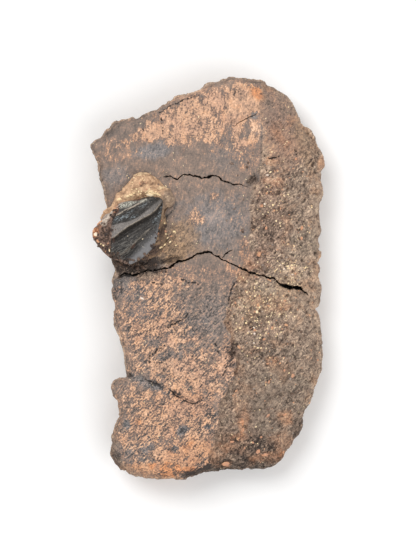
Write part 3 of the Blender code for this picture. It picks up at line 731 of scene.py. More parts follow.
# Dark umber. Some patches are dark stains and crumbly spots. Others are painted shadow: under the tooth,
# beside the lump, below the ledge, and along the bottom edge, which faces away from the light.
UMBER_AND_SHADE = (
    (-33, 6.5, 9, 3.4, -8, 0.7), (-40, 6, 6, 4, 0, 0.6), (-26, 8.2, 5, 2, 20, 1),
    (-15.7, 34.6, 0.5, 2.2, -12, 0.8), (-17.6, 31.6, 0.6, 1.8, -40, 0.9),
    (-19.8, 29.8, 1.6, 0.6, 35, 0.9), (-20, 27, 0.6, 2, 0, 0.7), (-36, 6, 11, 3.4, -8, 1),
    (-18, 8.9, 5.5, 1.3, 12, 0.9), (-24, 6.6, 4, 1, 10, 0.6), (-44.6, -86, 2, 7, 20, 0.9),
    (6, -91.6, 19, 3.8, 8, 1.4), (30, -91, 12, 3, 4, 0.9), (18, -78, 8, 5, 0, 0.3),
    (30, -86, 8, 4, 0, 0.4), (28, 22, 4, 3, 0, 0.35), (-18, 19, 3, 6, 0, 0.35),
    (24, -84, 18, 6, 0, 0.5), (42, -75, 3, 7, -30, 0.5), (36, -88, 6, 3, 20, 0.5),
    (5, -88, 8, 3, 0, 0.5), (28, -35.5, 8, 5, 0, 0.45), (24, -76, 8, 4, 0, 0.3),
    (35, 76, 8, 14, 10, 0.28), (11.5, -36.5, 2, 6.4, -10, 0.95), (-43, -4, 3, 6, 0, 0.5),
    (-4, -17, 11, 14, 10, 0.12), (8, -72, 6, 12, 0, 0.3), (15, 88, 4, 2.6, -20, 0.6),
    (-36, 2.4, 8, 2.4, 6, 0.7), (-12.2, -73, 2, 1.5, 20, 0.8), (2, -65.8, 1.8, 1.5, 0, 0.8),
    (12, 76, 1.6, 0.8, 20, 0.4), (31, -60, 16, 12, 0, 0.15), (-46, 69.5, 6, 1.6, 40, 0.45),
    (-36, 73.8, 8, 1, 8, 0.2), (24, -20, 10, 3, 15, 0.4), (21.6, 47, 3.2, 2.4, 30, 0.8),
    (25.8, 65, 0.5, 11, 0, 0.35), (52, 12, 1.2, 1.2, 0, 1), (-20.5, -37.5, 3.4, 1.6, 30, 0.5),
    (30, 30, 12, 5, 30, 0.2), (47, -70, 4, 10, -20, 0.4), (-38, -46.8, 3, 1.2, -15, 0.8),
    (-15.2, -82, 1.8, 1.2, 0, 0.5), (-0.4, -71.4, 1.4, 1.1, 0, 0.6), (-38.8, -70.4, 1.2, 1.8, 0, 0.5),
    (-26, -50.6, 6, 1.1, -25, 0.6), (-15.6, -55.4, 3, 1.6, -32, 0.9), (-9.5, -59, 4, 0.9, -14, 0.8),
    (-4, -58.6, 3, 0.8, 32, 0.7), (-41, -8, 4, 6, 0, 0.2),
)
OCHRE = (
    (-13, 18, 9, 9.5, -35, 1), (-19, 12.5, 7, 6, 0, 0.8), (26, -13, 12, 8, 0, 0.3),
    (46, 66, 4, 12, 15, 0.5), (40, -4, 8, 6, 0, 0.4),
)
RED = (
    (30, 27, 9, 18, 0, 0.5), (36, 68, 9, 18, 8, 0.2), (24, 8, 5, 8, 0, 0.6), (10.5, -12, 3, 6, 0, 0.4),
    (12, -40, 4, 9, 0, 0.6), (26, -24, 10, 4, 10, 0.4), (16, -70, 8, 14, 0, 0.3),
    (2, 5, 12, 5, -20, 0.3), (30, 46, 8, 8, 0, 0.4),
)
GREEN = (
    (44, -14, 7, 9, 0, 0.3), (42, -2, 8, 5, -30, 0.3), (30, -52, 14, 10, 20, 0.7),
    (26, -68, 12, 9, 0, 0.7), (40, 36, 10, 6, 20, 0.3), (48, 12, 4, 14, 0, 0.2),
)
GOLD = (
    (26, -13, 15, 15, 0, 1), (40, 2, 7, 6, 0, 1), (30, 40, 9, 8, 0, 0.45), (38, 20, 14, 20, 0, 0.3),
    (28, -38, 14, 12, 0, 0.25), (18, -70, 12, 12, 0, 0.15), (-16, 19, 5, 7, 0, 0.4),
    (32, 52, 10, 10, 0, 0.3), (-46, 70, 8, 3, 35, 0.5), (5, 93, 14, 2, 15, 0.4),
    (40, 84, 4, 9, 35, 0.3),
)
PALE = (
    (-10, 88.5, 13, 1.5, 24, 0.7), (4, 29, 5, 4, 0, 0.5), (-31.6, -9.6, 1.8, 0.9, -20, 1),
    (46, -12, 9, 16, 0, 0.55), (27.5, 56, 2.6, 14, 0, 0.5), (51, 30, 4, 30, 0, 0.45),
    (14, -22, 3.4, 8, 0, 0.55), (44, 2, 10, 5, -15, 0.4), (43, 80, 5, 12, 35, 0.4),
    (33, 47, 5, 2.2, 0, 0.5), (24, 72, 3.4, 4.6, 0, 1), (-40.5, -31, 3, 8, 10, 0.5),
    (2, 92, 16, 3, 12, 0.4), (31, -6, 7, 4, -15, 0.5), (6, -62, 2.6, 12, 0, 0.4),
    (-40, 60, 3, 3, 0, 0.3), (-41, -9, 4, 6, 0, 0.3), (24, -58, 9, 4, 30, 0.25),
    (-24, 45, 30, 30, 0, 0.1),
)

# %% Note the patches on the mesh
note_spots(
    frill_mesh, places, 1.3,
    ("salmon", SALMON, 0.45, 21), ("hot", HOT, 0.4, 22), ("blue", BLUE, 0.4, 23), ("umber_and_shade", UMBER_AND_SHADE, 0.4, 24),
    ("ochre", OCHRE, 0.3, 25), ("gold", GOLD, 0.4, 26), ("pale", PALE, 0.5, 27), ("red", RED, 0.4, 29),
    ("green", GREEN, 0.4, 30),
)
note(frill_mesh, "rough", 1.0 - face * (1.0 - rough))
note(frill_mesh, "calm", calm * face)
# A band along the broken edges, where the rough side is calmer. It is also lightened as painted light on the
# edges.
frayed_away = rim_away + 1.5 * rough_noise(places, 4.0 * MM, 28)
note(frill_mesh, "rim_and_edge_light", face * (1.0 - soft_step(frayed_away, 1.0, 5.5)))
note(frill_mesh, "low_face", low)
# The cracks and hair cracks, noted for the painted shade inside them.
note(frill_mesh, "crack", np.maximum(crack, 0.75 * hair) * face)
note(frill_mesh, "wall", 1.0 - face)
note(frill_mesh, "cavity_shade", np.clip(0.5 - cavity_shade, 0.0, 1.0))

# %% [markdown]
# The salmon coat lies in flecks that run down the upper part and slant on the lower part. Noise
# stretched each way gives a tone from dark to light, and a ramp turns the tone into the colours of
# bone and coat. The patches raise or lower the tone, and make it vary more where there is coat.
# The rough side has a ramp of its own, with gold grains scattered on it.

# %% The bone's finish
bone = Finish("coated_bone")
salmon, hot, blue, umber_and_shade = (bone.noted(name) for name in ("salmon", "hot", "blue", "umber_and_shade"))
ochre, gold, pale, red, green = (bone.noted(name) for name in ("ochre", "gold", "pale", "red", "green"))
rough_side, calm_side, low_side = (bone.noted(name) for name in ("rough", "calm", "low_face"))
cavity_shade_mask, crack_shade, rim_and_edge_light, on_wall = (bone.noted(name) for name in ("cavity_shade", "crack", "rim_and_edge_light", "wall"))
# The walls get a little less of the umber stains and painted shadow.
umber_and_shade = umber_and_shade * (1.0 - on_wall * 0.15)

drips = bone.streaks(1.1 * MM, 78.0, 3.3)
slants = bone.streaks(0.95 * MM, 47.0, 3.2)
flecks = drips * (1.0 - low_side) + slants * low_side
grit = bone.grain(0.8 * MM, 2.0, 0.65)
blotch = bone.grain(4.5 * MM, 4.0, 0.62, warp=0.6)
hue = bone.grain(11.0 * MM, 3.0, 0.6, warp=0.8)
cover = salmon * 0.75 + (blotch - 0.5) * 0.9 + (flecks - 0.5) * (1.4 + low_side * 0.4) + (grit - 0.5) * 1.3
cover = cover + hot * 0.05 - umber_and_shade * 0.2
thin = cover.within(0.08, 0.42)
coat = cover.within(0.34, 0.64)
lively = 0.5 + low_side * 0.7 + blue * 0.3
shade = 0.34 + (flecks - 0.5) * lively + (grit - 0.5) * lively + (blotch - 0.5) * 0.5
# Umber and painted shadow darken the tone, and the rim band is lightened a little as painted edge light.
shade = shade - umber_and_shade * 0.36 + rim_and_edge_light * 0.03 + pale * 0.25
bare_ramp = bone.ramp(
    shade, (0.0, 56, 48, 44), (0.2, 106, 95, 88), (0.4, 138, 119, 107),
    (0.6, 170, 142, 123), (1.0, 220, 188, 162),
)
blue_ramp = bone.ramp(
    shade, (0.0, 56, 54, 55), (0.2, 98, 96, 96), (0.4, 130, 125, 124),
    (0.6, 158, 150, 148), (1.0, 214, 204, 198),
)
coat_tone = 0.52 + (flecks - 0.5) * 1.0 + (grit - 0.5) * (1.0 + low_side * 0.8) + (blotch - 0.5) * 0.6
coat_tone = coat_tone + pale * 0.2 - low_side * 0.04 - umber_and_shade * 0.2 + (hue - 0.5) * 0.35
coat_ramp = bone.ramp(
    coat_tone, (0.0, 80, 68, 62), (0.3, 150, 122, 104), (0.5, 191, 152, 126),
    (0.7, 220, 175, 142), (1.0, 248, 210, 178),
)
hot_ramp = bone.ramp(
    coat_tone, (0.0, 92, 68, 52), (0.3, 158, 118, 92), (0.5, 192, 144, 112),
    (0.7, 216, 162, 122), (1.0, 242, 192, 150),
)
thin_ramp = bone.ramp(
    shade, (0.0, 62, 52, 48), (0.2, 112, 96, 88), (0.4, 153, 125, 110),
    (0.6, 188, 149, 125), (1.0, 230, 190, 160),
)
# Tints, by which colours are multiplied.
RUSTY = (1.0, 0.92, 0.84)
ROSY = (0.96, 0.95, 0.98)
WARM = (1.06, 0.92, 0.82)
COOL = (0.9, 0.95, 0.96)
REDDISH = (1.0, 0.86, 0.84)
GREENISH = (0.9, 0.93, 0.94)
FIERY = (1.06, 0.86, 0.7)
bare = bone.mix(blue, bare_ramp, blue_ramp)
bare = bone.mix(thin * (1.0 - blue * 0.6), bare, thin_ramp)
coat_colours = bone.mix(hot * 0.9, coat_ramp, hot_ramp)
coat_colours = bone.tinted(blotch.within(0.52, 0.66) * 0.8, coat_colours, RUSTY)
coat_colours = bone.tinted((1.0 - hue).within(0.48, 0.62), coat_colours, ROSY)
smooth_side = bone.mix(coat, bare, coat_colours)

fibre = bone.streaks(1.05 * MM, 50.0, 2.6, 1.2)
crumb = bone.grain(1.9 * MM, 3.0, 0.6, warp=1.0)
calmer = 1.0 - green * 0.45 - rim_and_edge_light * 0.4
crumbled = (fibre - 0.5) * 1.7 + (grit - 0.5) * 1.2 + (crumb - 0.5) * 0.9
earth_tone = 0.46 + crumbled * calmer + (blotch - 0.5) * 0.65
# Umber and painted shadow darken the tone. The rim band and the broken walls are lightened as painted light,
# as if lit all round.
earth_tone = earth_tone - umber_and_shade * 0.36 + gold * 0.05 + pale * 0.2 + rim_and_edge_light * 0.06 + on_wall * 0.1
earth_ramp = bone.ramp(
    earth_tone, (0.0, 44, 35, 30), (0.22, 102, 86, 75), (0.45, 137, 118, 103),
    (0.68, 172, 148, 128), (1.0, 223, 195, 168),
)
calm_ramp = bone.ramp(
    earth_tone, (0.0, 82, 68, 60), (0.3, 130, 110, 98), (0.55, 156, 130, 114),
    (0.8, 192, 152, 124), (1.0, 226, 178, 142),
)
earth = bone.mix(calm_side, earth_ramp, calm_ramp)
earth = bone.mix(hot * 0.9, earth, bone.mix(0.35, hot_ramp, earth_ramp))
earth = bone.tinted(hue.within(0.5, 0.68) * 0.8, earth, WARM)
earth = bone.tinted((1.0 - hue).within(0.5, 0.68) * 0.8, earth, COOL)
earth = bone.tinted(red * 0.8, earth, REDDISH)
earth = bone.tinted(green * 0.8, earth, GREENISH)
skin = bone.mix(rough_side, smooth_side, earth)
skin = bone.tinted(hot.within(0.95, 1.25) * 0.8, skin, FIERY)
ochre_ramp = bone.ramp(
    earth_tone, (0.0, 68, 54, 42), (0.3, 122, 99, 78), (0.6, 156, 127, 101), (1.0, 204, 164, 124)
)
skin = bone.mix(ochre * 0.85, skin, ochre_ramp)
bright = bone.grain(1.0 * MM, 1.0, 0.5, warp=0.5)
speck = (bright + gold * (0.03 + rough_side * 0.055)).within(0.75, 0.79)
skin = bone.mix(speck, skin, paint(236, 212, 172))
# Painted shadow: where the umber and shade is strongest on the smooth face, mostly under the tooth and beside
# the lump, it is painted nearly black.
skin = bone.mix(umber_and_shade.within(0.8, 1.3) * (1.0 - rough_side) * 0.75, skin, paint(50, 38, 32))
# Painted shade: the hollows of the relief are darkened.
skin = bone.mix(cavity_shade_mask.within(0.5, 1.0) * 0.75, skin, paint(56, 44, 37))
# Painted shade: the insides of the cracks are made nearly black.
skin = bone.mix(crack_shade.within(0.1, 0.6), skin, paint(26, 21, 18))
bone.feed("Base Color", skin)
bone.feed("Roughness", 0.66 + rough_side * 0.16 + grit * 0.15)
smooth_height = flecks * 0.5 + grit * 0.45 + coat * 0.35
rough_height = fibre * 0.5 + grit * 0.6 + crumb * 0.9
bone.feed("Normal", bone.bump(smooth_height * (1.0 - rough_side) + rough_height * rough_side, 0.6 * MM, 0.75))

frill = add_piece("frill_skin", frill_mesh, bone.material, "frill_bone", "frill_bone")

# %% [markdown]
# ## The lump of matrix
#
# Matrix is the sandy stone that the fossil was buried in. This lump was left stuck to the bone, and
# it holds the tooth. Its top is dry and tan, with a few pits and pale crystals. Below the tooth it
# is stained ochre and then dark brown, and the dark brown is partly the stone's own colour and
# partly painted shadow of the tooth.

# %% Shape the lump
LUMP_FACET = 0.7 * MM
LUMP_UNDER_LEVEL = 26.6 * MM


def lump_facets(middles):
    return np.where(middles[:, 2] > LUMP_UNDER_LEVEL, LUMP_FACET, 3.0 * MM)


bm = cut_fine(merged_copy("matrix_lump"), lump_facets)
soften(bm, bm.verts, passes=7)
lump_mesh = as_mesh(bm, "sandy_lump")
lump_places = places_of(lump_mesh)
lump_normals = normals_of(lump_mesh)
LUMP_PITS = (
    (-31.6, 44.2, 1, 0.8, 40, 0.7), (-30.3, 45.2, 1.1, 0.7, -30, 0.6), (-26.2, 45.1, 0.9, 0.5, 50, 0.5),
    (-27.3, 44.4, 0.5, 0.4, 0, 0.4), (-35.5, 42.5, 1.2, 0.7, 0, 0.5), (-19.5, 31.5, 1.4, 2.4, -30, 1.2),
    (-23.5, 41.8, 0.8, 0.5, 20, 0.4), (-33.5, 47.4, 1.2, 0.5, 30, 0.4),
    (-20.8, 39.2, 1.4, 0.5, 60, 0.5), (-21.8, 22.5, 0.5, 3, -14, 1), (-23.4, 14.6, 0.5, 2.6, -42, 1),
    (-19.6, 24.5, 0.5, 1.8, 20, 0.6),
)
sandy = 0.55 * rough_noise(lump_places, 6.0 * MM, 32) + 0.35 * rough_noise(lump_places, 2.2 * MM, 33)
sandy += 0.45 * cells(lump_places, 1.6 * MM, 31) - 0.3
sandy -= soft_spots(lump_places, LUMP_PITS, 0.3, 34)
lump_places = settle(lump_mesh, lump_places + lump_normals * (sandy * MM)[:, None], "matrix_lump")

# %% Note its stains and its painted shadow
LUMP_OCHRE = ((-20, 20, 6, 9, 0, 1), (-20, 30, 4, 5, 0, 0.6), (-25, 12, 5, 4, 0, 0.7))
# Dark brown: partly the stone and crumbs round the root, and partly painted shadow under the tooth, in the
# gaps along its edge, and below the lump's right edge.
LUMP_UMBER_AND_SHADE = (
    (-34, 7.5, 9, 4, -15, 1), (-46, 12, 8, 6, 40, 1), (-51, 22, 4, 7, 0, 0.9), (-25, 13, 3, 4, 30, 0.7),
    (-31, 44.6, 1.5, 1, 20, 0.45), (-26.4, 45, 1, 0.6, 30, 0.4), (-16, 33, 1, 3, 10, 0.5),
    (-22.2, 21.5, 1.1, 5, -14, 1), (-25.4, 13.4, 1.3, 4.4, -42, 1), (-20, 18, 3, 6, 0, 0.45),
)
LUMP_DULL = ((-18, 37, 5, 6.5, 10, 1), (-20.5, 28, 3.4, 8, 0, 1))
LUMP_RED = (
    (-31.6, 45.1, 1.9, 1.3, 30, 1), (-29.4, 45.6, 0.7, 0.9, 0, 0.7), (-26.1, 45, 1, 0.7, 40, 0.8),
)
LUMP_CREAM = (
    (-27.4, 40.5, 2.4, 1.3, -4, 1.6), (-24, 40, 1.3, 0.8, 0, 0.9), (-37.5, 39.3, 3, 1.2, 8, 0.35),
    (-33, 41.3, 2, 1.8, 0, 0.35), (-22.5, 43.2, 1.6, 0.7, 10, 0.8), (-42.5, 37.6, 1.4, 0.5, 10, 0.8),
    (-32, 50, 3, 1, 0, 0.5), (-20, 44, 1.6, 0.8, -45, 0.6),
)
note_spots(
    lump_mesh, lump_places, 1.0,
    ("ochre", LUMP_OCHRE, 0.35, 41), ("umber_and_shade", LUMP_UMBER_AND_SHADE, 0.4, 42), ("dull", LUMP_DULL, 0.35, 43),
    ("cream", LUMP_CREAM, 0.45, 44), ("red", LUMP_RED, 0.5, 45),
)
# How far each point lies below its neighbours, for painted shade in the lump's hollows.
lump_cavity_shade = sandy - blurred(lump_mesh, sandy, 6)
note(lump_mesh, "cavity_shade", np.clip(0.5 - lump_cavity_shade, 0.0, 1.0))

# %% The lump's finish
sand = Finish("sandy_matrix")
fine = sand.grain(0.7 * MM, 3.0, 0.7)
mottle = sand.grain(2.2 * MM, 4.0, 0.6)
ochre, umber_and_shade, dull = (sand.noted(name) for name in ("ochre", "umber_and_shade", "dull"))
cream, red, cavity_shade_mask = (sand.noted(name) for name in ("cream", "red", "cavity_shade"))
tan = sand.mix(mottle.within(0.33, 0.66), paint(162, 127, 99), paint(222, 182, 146))
tan = sand.mix(fine.within(0.56, 0.7) * 0.6, tan, paint(242, 204, 154))
dulled = sand.mix(mottle.within(0.35, 0.6), paint(120, 104, 92), paint(168, 146, 126))
stained = sand.mix(mottle.within(0.35, 0.62), paint(112, 92, 73), paint(166, 135, 104))
tan = sand.mix(dull * 0.85, tan, dulled)
tan = sand.mix(ochre * 0.9, tan, stained)
# Umber stains, and painted shadow under the tooth.
tan = sand.mix(umber_and_shade * (fine * 0.5 + mottle * 0.6).within(0.35, 0.6), tan, paint(76, 60, 52))
tan = sand.mix(red * fine.within(0.42, 0.58) * 0.85, tan, paint(98, 56, 42))
tan = sand.mix(cream * fleck_share(mottle, fine), tan, paint(250, 224, 180))
tan = sand.mix(1.0, tan, 0.78 + fine * 0.44, "MULTIPLY")
# Painted shade: the lump's hollows are darkened.
tan = sand.mix(cavity_shade_mask.within(0.5, 0.95) * 0.7, tan, paint(84, 64, 52))
sand.feed("Base Color", tan)
sand.feed("Roughness", 0.85)
sand.feed("Normal", sand.bump(fine * 0.6 + mottle * 0.6, 0.4 * MM, 0.8))
lump = add_piece("sandy_lump", lump_mesh, sand.material, "sandy_matrix", "matrix_lump")

# %% [markdown]
# ## The tooth
#
# It is a cheek tooth, with a leaf-shaped crown of dark enamel and a broken stump of root. A strong
# ridge runs along the crown and dives steeply on its lower side. Fine grooves follow it, and a
# separate smooth band forms the lower edge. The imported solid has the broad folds, so only the sharp
# lines and the fine grooves are added here.

# %% Lines along the tooth, as x, y and height above its foot in mm
TOOTH_FOOT = 31.6
CREST = (
    (-46.2, 18.6, 5.6), (-44.7, 19.5, 6.6), (-41.5, 22.1, 7.8), (-37.5, 24.9, 8.5), (-34.3, 26.7, 8.7),
    (-30.3, 28.9, 8.7), (-27.1, 30.5, 8.2), (-24.3, 32.9, 7), (-22.1, 36.1, 4.6),
)
FACE_TOP = (
    (-46.4, 25, 4), (-45.5, 25.3, 4.6), (-41.5, 26.3, 5.6), (-38.3, 26.9, 6.2), (-33.5, 28.9, 6.8),
    (-29.5, 31.7, 6.9), (-25.5, 35.3, 6.2), (-23.1, 37.5, 4.6),
)
UPPER_GROOVE = (
    (-45.3, 28, 3.4), (-41.5, 28.9, 4), (-37.5, 30.1, 4.3), (-33.5, 31.9, 4.7), (-29.5, 34.7, 5),
    (-26.3, 36.9, 4.6),
)
UPPER_LINE = (
    (-43.5, 29.9, 4.6), (-39.5, 32.3, 5.5), (-35.5, 34.1, 5.8), (-31.5, 36.3, 5.6), (-29.5, 37.6, 4.8),
)
UPPER_RIM = (
    (-44.6, 30.9, 3.2), (-43.9, 34, 3), (-39.9, 36.2, 3.6), (-35.1, 37, 3.8), (-30.3, 38.3, 3.8),
    (-25.9, 38.8, 3.4), (-22.7, 38.3, 3), (-21.4, 36.9, 2.6),
)
HOLLOW = (
    (-46, 17.6, 3.4), (-44.3, 18.1, 3.9), (-40.3, 20.5, 4.2), (-35.9, 23.3, 4.4), (-31.9, 25.7, 4.4),
    (-27.9, 28.1, 4.2), (-24.7, 30.9, 3.8), (-22.5, 33.9, 3.2),
)
SECOND_RIDGE = (
    (-46.4, 15.7, 4.2), (-41.5, 18.1, 5.5), (-37.5, 20.5, 5.8), (-33.5, 23.1, 5.7), (-29.5, 25.5, 5.3),
    (-25.9, 28.4, 4.4),
)
SECOND_HOLLOW = (
    (-46.2, 14.6, 4.3), (-41.5, 16.5, 4.9), (-38.3, 18.3, 4.8), (-35.1, 20.5, 4.5), (-31.9, 22.7, 4.2),
    (-27.9, 25.3, 3.8), (-25.3, 27.3, 3.5),
)
LOBE = (
    (-46.4, 12.8, 4.4), (-42.5, 13.2, 5.3), (-39.3, 15.1, 5.4), (-36.3, 17.7, 5), (-33.3, 20.1, 4.6),
)
LOBE_EDGE = (
    (-45.8, 10.9, 3), (-42.7, 10.3, 3.8), (-39.9, 12.1, 4.4), (-37.5, 14.1, 4.6), (-35.1, 16.7, 4.4),
    (-31.9, 19.7, 3.8), (-27.9, 23.5, 3.2),
)
SLOT = (
    (-40.2, 9.3, 1.8), (-37.9, 11.5, 1.8), (-35.5, 13.7, 1.9), (-32.7, 16.7, 2.4), (-29.5, 19.9, 2.7),
    (-26.3, 23.5, 2.8), (-23.9, 28.1, 2.8), (-22.7, 32.1, 2.8),
)
BAND = (
    (-38.5, 8.5, 2.6), (-35.1, 10.7, 3.1), (-31.9, 13.3, 3.5), (-28.7, 16.7, 3.7), (-26.3, 20.3, 3.7),
    (-24.7, 23.7, 3.4), (-23.3, 27.7, 3.2),
)
BAND_RIM = (
    (-37.3, 6.7, 2.6), (-33.5, 8.7, 3.5), (-29.7, 11.5, 4), (-27, 14.5, 4.2), (-25.2, 18.1, 4.2),
    (-24.2, 22.1, 3.9), (-23.2, 26.5, 3.5), (-22.3, 31.3, 3),
)
FOLDS = (
    CREST, FACE_TOP, UPPER_GROOVE, UPPER_LINE, UPPER_RIM, HOLLOW, SECOND_RIDGE, SECOND_HOLLOW, LOBE,
    LOBE_EDGE, SLOT, BAND, BAND_RIM,
)
CROWN = (
    (-46, 25), (-45, 28.5), (-44, 31.5), (-41.5, 35.5), (-37.3, 37.5), (-28.7, 40), (-23, 41),
    (-19, 38), (-19, 31), (-22, 22), (-24, 16), (-28.5, 10.5), (-33, 6.5), (-36.8, 5), (-39, 8.3),
    (-42.5, 9.3), (-45.8, 10.5), (-46.6, 16), (-45.7, 20.5),
)
# The tooth's outline from above, round from the band's lower tip.
TOOTH_OUTLINE = (
    (-37.3, 6.5), (-35.1, 7.3), (-31.9, 9.2), (-29.4, 11), (-27, 13.5), (-25.3, 16.1), (-24.2, 18.9),
    (-23.8, 21.9), (-23.2, 25.3), (-22.4, 28.5), (-21.8, 32.1), (-21.4, 35.7), (-21.7, 37.5),
    (-22.9, 38.5), (-25.9, 38.9), (-29.5, 38.7), (-31.9, 38.1), (-35.1, 37.3), (-38.3, 36.7),
    (-41.5, 36.2), (-43.5, 35), (-44.7, 33), (-46.3, 31.6), (-50.3, 27.5), (-52.3, 25.5), (-54.3, 23.9),
    (-55.1, 21.7), (-54.9, 19.3), (-53.5, 17.1), (-51.5, 14.5), (-49.5, 12.1), (-47.5, 10.3),
    (-44.5, 8.6), (-41.3, 7.2),
)
TOOTH_FACET = 0.46 * MM
TOOTH_ANGLE = 32.0
TOOTH_TOP_LEVEL = 33.0 * MM


def tooth_facets(middles):
    return np.where(middles[:, 2] > TOOTH_TOP_LEVEL, TOOTH_FACET, 1.6 * MM)


def inside_loop(places, loop):
    """True for each place that the loop surrounds in plan."""
    x, y = places[:, 0] / MM, places[:, 1] / MM
    crossings = np.zeros(len(places), int)
    for (x_a, y_a), (x_b, y_b) in zip(loop, loop[1:] + loop[:1]):
        if y_a != y_b:
            crossing = x_a + (y - y_a) * (x_b - x_a) / (y_b - y_a)
            crossings += ((y_a > y) != (y_b > y)) & (crossing > x)
    return crossings % 2 == 1


def to_outline(places, loop):
    """In mm and in plan: the way from each place to the nearest point of the loop."""
    points = places[:, :2] / MM
    nearest = np.full(len(points), np.inf)
    way = np.zeros_like(points)
    for start, end in zip(np.array(loop), np.array(loop[1:] + loop[:1])):
        along = end - start
        share = np.clip(((points - start) @ along) / (along @ along), 0.0, 1.0)
        out = start + share[:, None] * along - points
        closer = np.hypot(*out.T) < nearest
        nearest[closer] = np.hypot(*out.T)[closer]
        way[closer] = out[closer]
    return way


def line_profile(places, line, width):
    """1 on the line, and 0 past its width in mm."""
    return 1.0 - soft_step(distance_to_line(places, line)[0], 0.0, width)


def stretched_net(places, lines):
    """The height in mm of a net of triangles stretched between the lines."""
    knots = [knot for line in lines for knot in line]
    threads = []
    for line in lines:
        first = knots.index(line[0])
        threads += [(first + step, first + step + 1) for step in range(len(line) - 1)]
    flat = [Vector(knot[:2]) for knot in knots]
    made, _, triangles, sources = geometry.delaunay_2d_cdt(flat, threads, [], 0, 1e-5)[:4]
    corners = [Vector((*place, knots[source[0]][2])) for place, source in zip(made, sources)]
    tree = BVHTree.FromPolygons(corners, triangles)
    heights = []
    for x, y in places[:, :2] / MM:
        hit = tree.ray_cast(Vector((x, y, 50.0)), Vector((0.0, 0.0, -1.0)))[0]
        heights.append((hit or tree.find_nearest(Vector((x, y, 3.0)))[0]).z)
    return np.array(heights)


# %% Shape the tooth
bm = cut_fine(merged_copy("tooth"), tooth_facets)
soften(bm, bm.verts, passes=5)
tooth_mesh = as_mesh(bm, "ridged_tooth")
tooth_places = places_of(tooth_mesh)
wall = 1.0 - soft_step(normals_of(tooth_mesh)[:, 2], 0.15, 0.6)
pull = np.clip(to_outline(tooth_places, TOOTH_OUTLINE), -2.0, 2.0)
on_wall = wall > 0.5
for axis in (0, 1):
    shift = pull[:, axis] * on_wall
    for _ in range(24):
        shift = np.where(on_wall, pull[:, axis], blurred(tooth_mesh, shift, 1))
    tooth_places[:, axis] += blurred(tooth_mesh, shift, 2) * MM
move_to(tooth_mesh, tooth_places)
tooth_normals = normals_of(tooth_mesh)
waves = [rough_noise(tooth_places, 2.2 * MM, seed) for seed in (51, 52, 53)]
wavy = tooth_places + 0.16 * MM * np.stack(waves, 1)
crown = blurred(tooth_mesh, inside_loop(wavy, CROWN).astype(float), 1)
upward = soft_step(tooth_normals[:, 2], 0.25, 0.6)
ribs = rough_noise(slanting(tooth_places, TOOTH_ANGLE, 6.0), 0.85 * MM, 54)
band = soft_step(-signed_side(wavy, SLOT), 0.1, 1.5)
upper_side = soft_step(signed_side(wavy, CREST), -0.1, 0.4)
lit_face = upper_side * (1.0 - soft_step(signed_side(wavy, FACE_TOP), -0.5, 0.3))
near_root = 1.0 - 0.45 * soft_step(tooth_places[:, 0] / MM, -32.0, -24.0)
shaded = (1.0 - upper_side) * (1.0 - soft_step(distance_to_line(wavy, CREST)[0], 1.6, 3.0))
lobe = soft_step(-signed_side(wavy, SECOND_HOLLOW), -0.6, 0.3) * (1.0 - band)
lobe *= 1.0 - soft_step(tooth_places[:, 0] / MM, -38.0, -32.0)
plain = (1.0 - 0.95 * band) * (1.0 - 0.9 * lit_face) * (1.0 - 0.7 * shaded)
net = blurred(tooth_mesh, stretched_net(wavy, FOLDS), 3)
blend = crown * upward
tooth_places[:, 2] += blend * ((TOOTH_FOOT + net) * MM - tooth_places[:, 2])
tooth_heights = tamed(tooth_mesh, tooth_places[:, 2], 0.5 * SPIKE)
tooth_places[:, 2] = np.where(tooth_places[:, 2] > TOOTH_TOP_LEVEL - MM, tooth_heights, tooth_places[:, 2])
stump = 0.9 * rough_noise(tooth_places, 2.6 * MM, 57) + 0.9 * cells(tooth_places, 1.7 * MM, 56) - 0.5
enamel = (0.12 + 0.16 * lobe) * ribs * plain + 0.05 * rough_noise(tooth_places, 1.2 * MM, 55)
tooth_relief = blend * enamel + (1.0 - crown) * upward * stump
tooth_places = settle(tooth_mesh, tooth_places + tooth_normals * (tooth_relief * MM)[:, None], "tooth")

# %% Note its zones
# Blue-grey flecks: partly crystals of that colour and partly painted glints.
TOOTH_BLUE_GLINTS = (
    (-35, 29.4, 2.2, 1.1, 30, 1), (-41.5, 28.6, 4, 1.3, 16, 0.8), (-37, 31.4, 3, 0.8, 30, 0.5),
    (-23, 30.6, 0.8, 3.6, -12, 0.8), (-25.2, 27.4, 1, 1.6, -30, 0.5), (-31, 34.6, 3, 0.7, 36, 0.4),
)
TOOTH_CRUST = (
    (-39.4, 34.9, 4.2, 1.4, 14, 1), (-48.2, 28.6, 3.8, 1.3, 50, 1.3), (-46.4, 32.4, 1.6, 1.6, 0, 0.5),
    (-36, 36, 2.5, 0.7, 15, 0.5), (-31, 37, 3.4, 0.7, 16, 0.6),
)
TOOTH_RUST = (
    (-43.6, 32.8, 1.6, 2.2, 0, 0.9), (-54, 22.2, 1.8, 2.2, 0, 1), (-50.5, 25.6, 3.5, 0.9, 45, 0.5),
    (-34, 37.2, 2.4, 0.6, 10, 0.7), (-35.6, 15.2, 0.5, 1.4, -40, 0.6), (-45, 18.4, 0.6, 1.4, 0, 0.5),
)
TOOTH_SPECKS = (
    (-31.1, 18.7, 0.55, 0.3, 50, 1), (-38.1, 20.1, 0.5, 0.25, 20, 0.7),
    (-30.9, 15.2, 0.3, 0.25, 0, 0.7),
)
note_spots(
    tooth_mesh, tooth_places, 1.0,
    ("blue", TOOTH_BLUE_GLINTS, 0.45, 61), ("crust", TOOTH_CRUST, 0.5, 62), ("rust", TOOTH_RUST, 0.45, 63),
    ("specks", TOOTH_SPECKS, 0.3, 64),
)
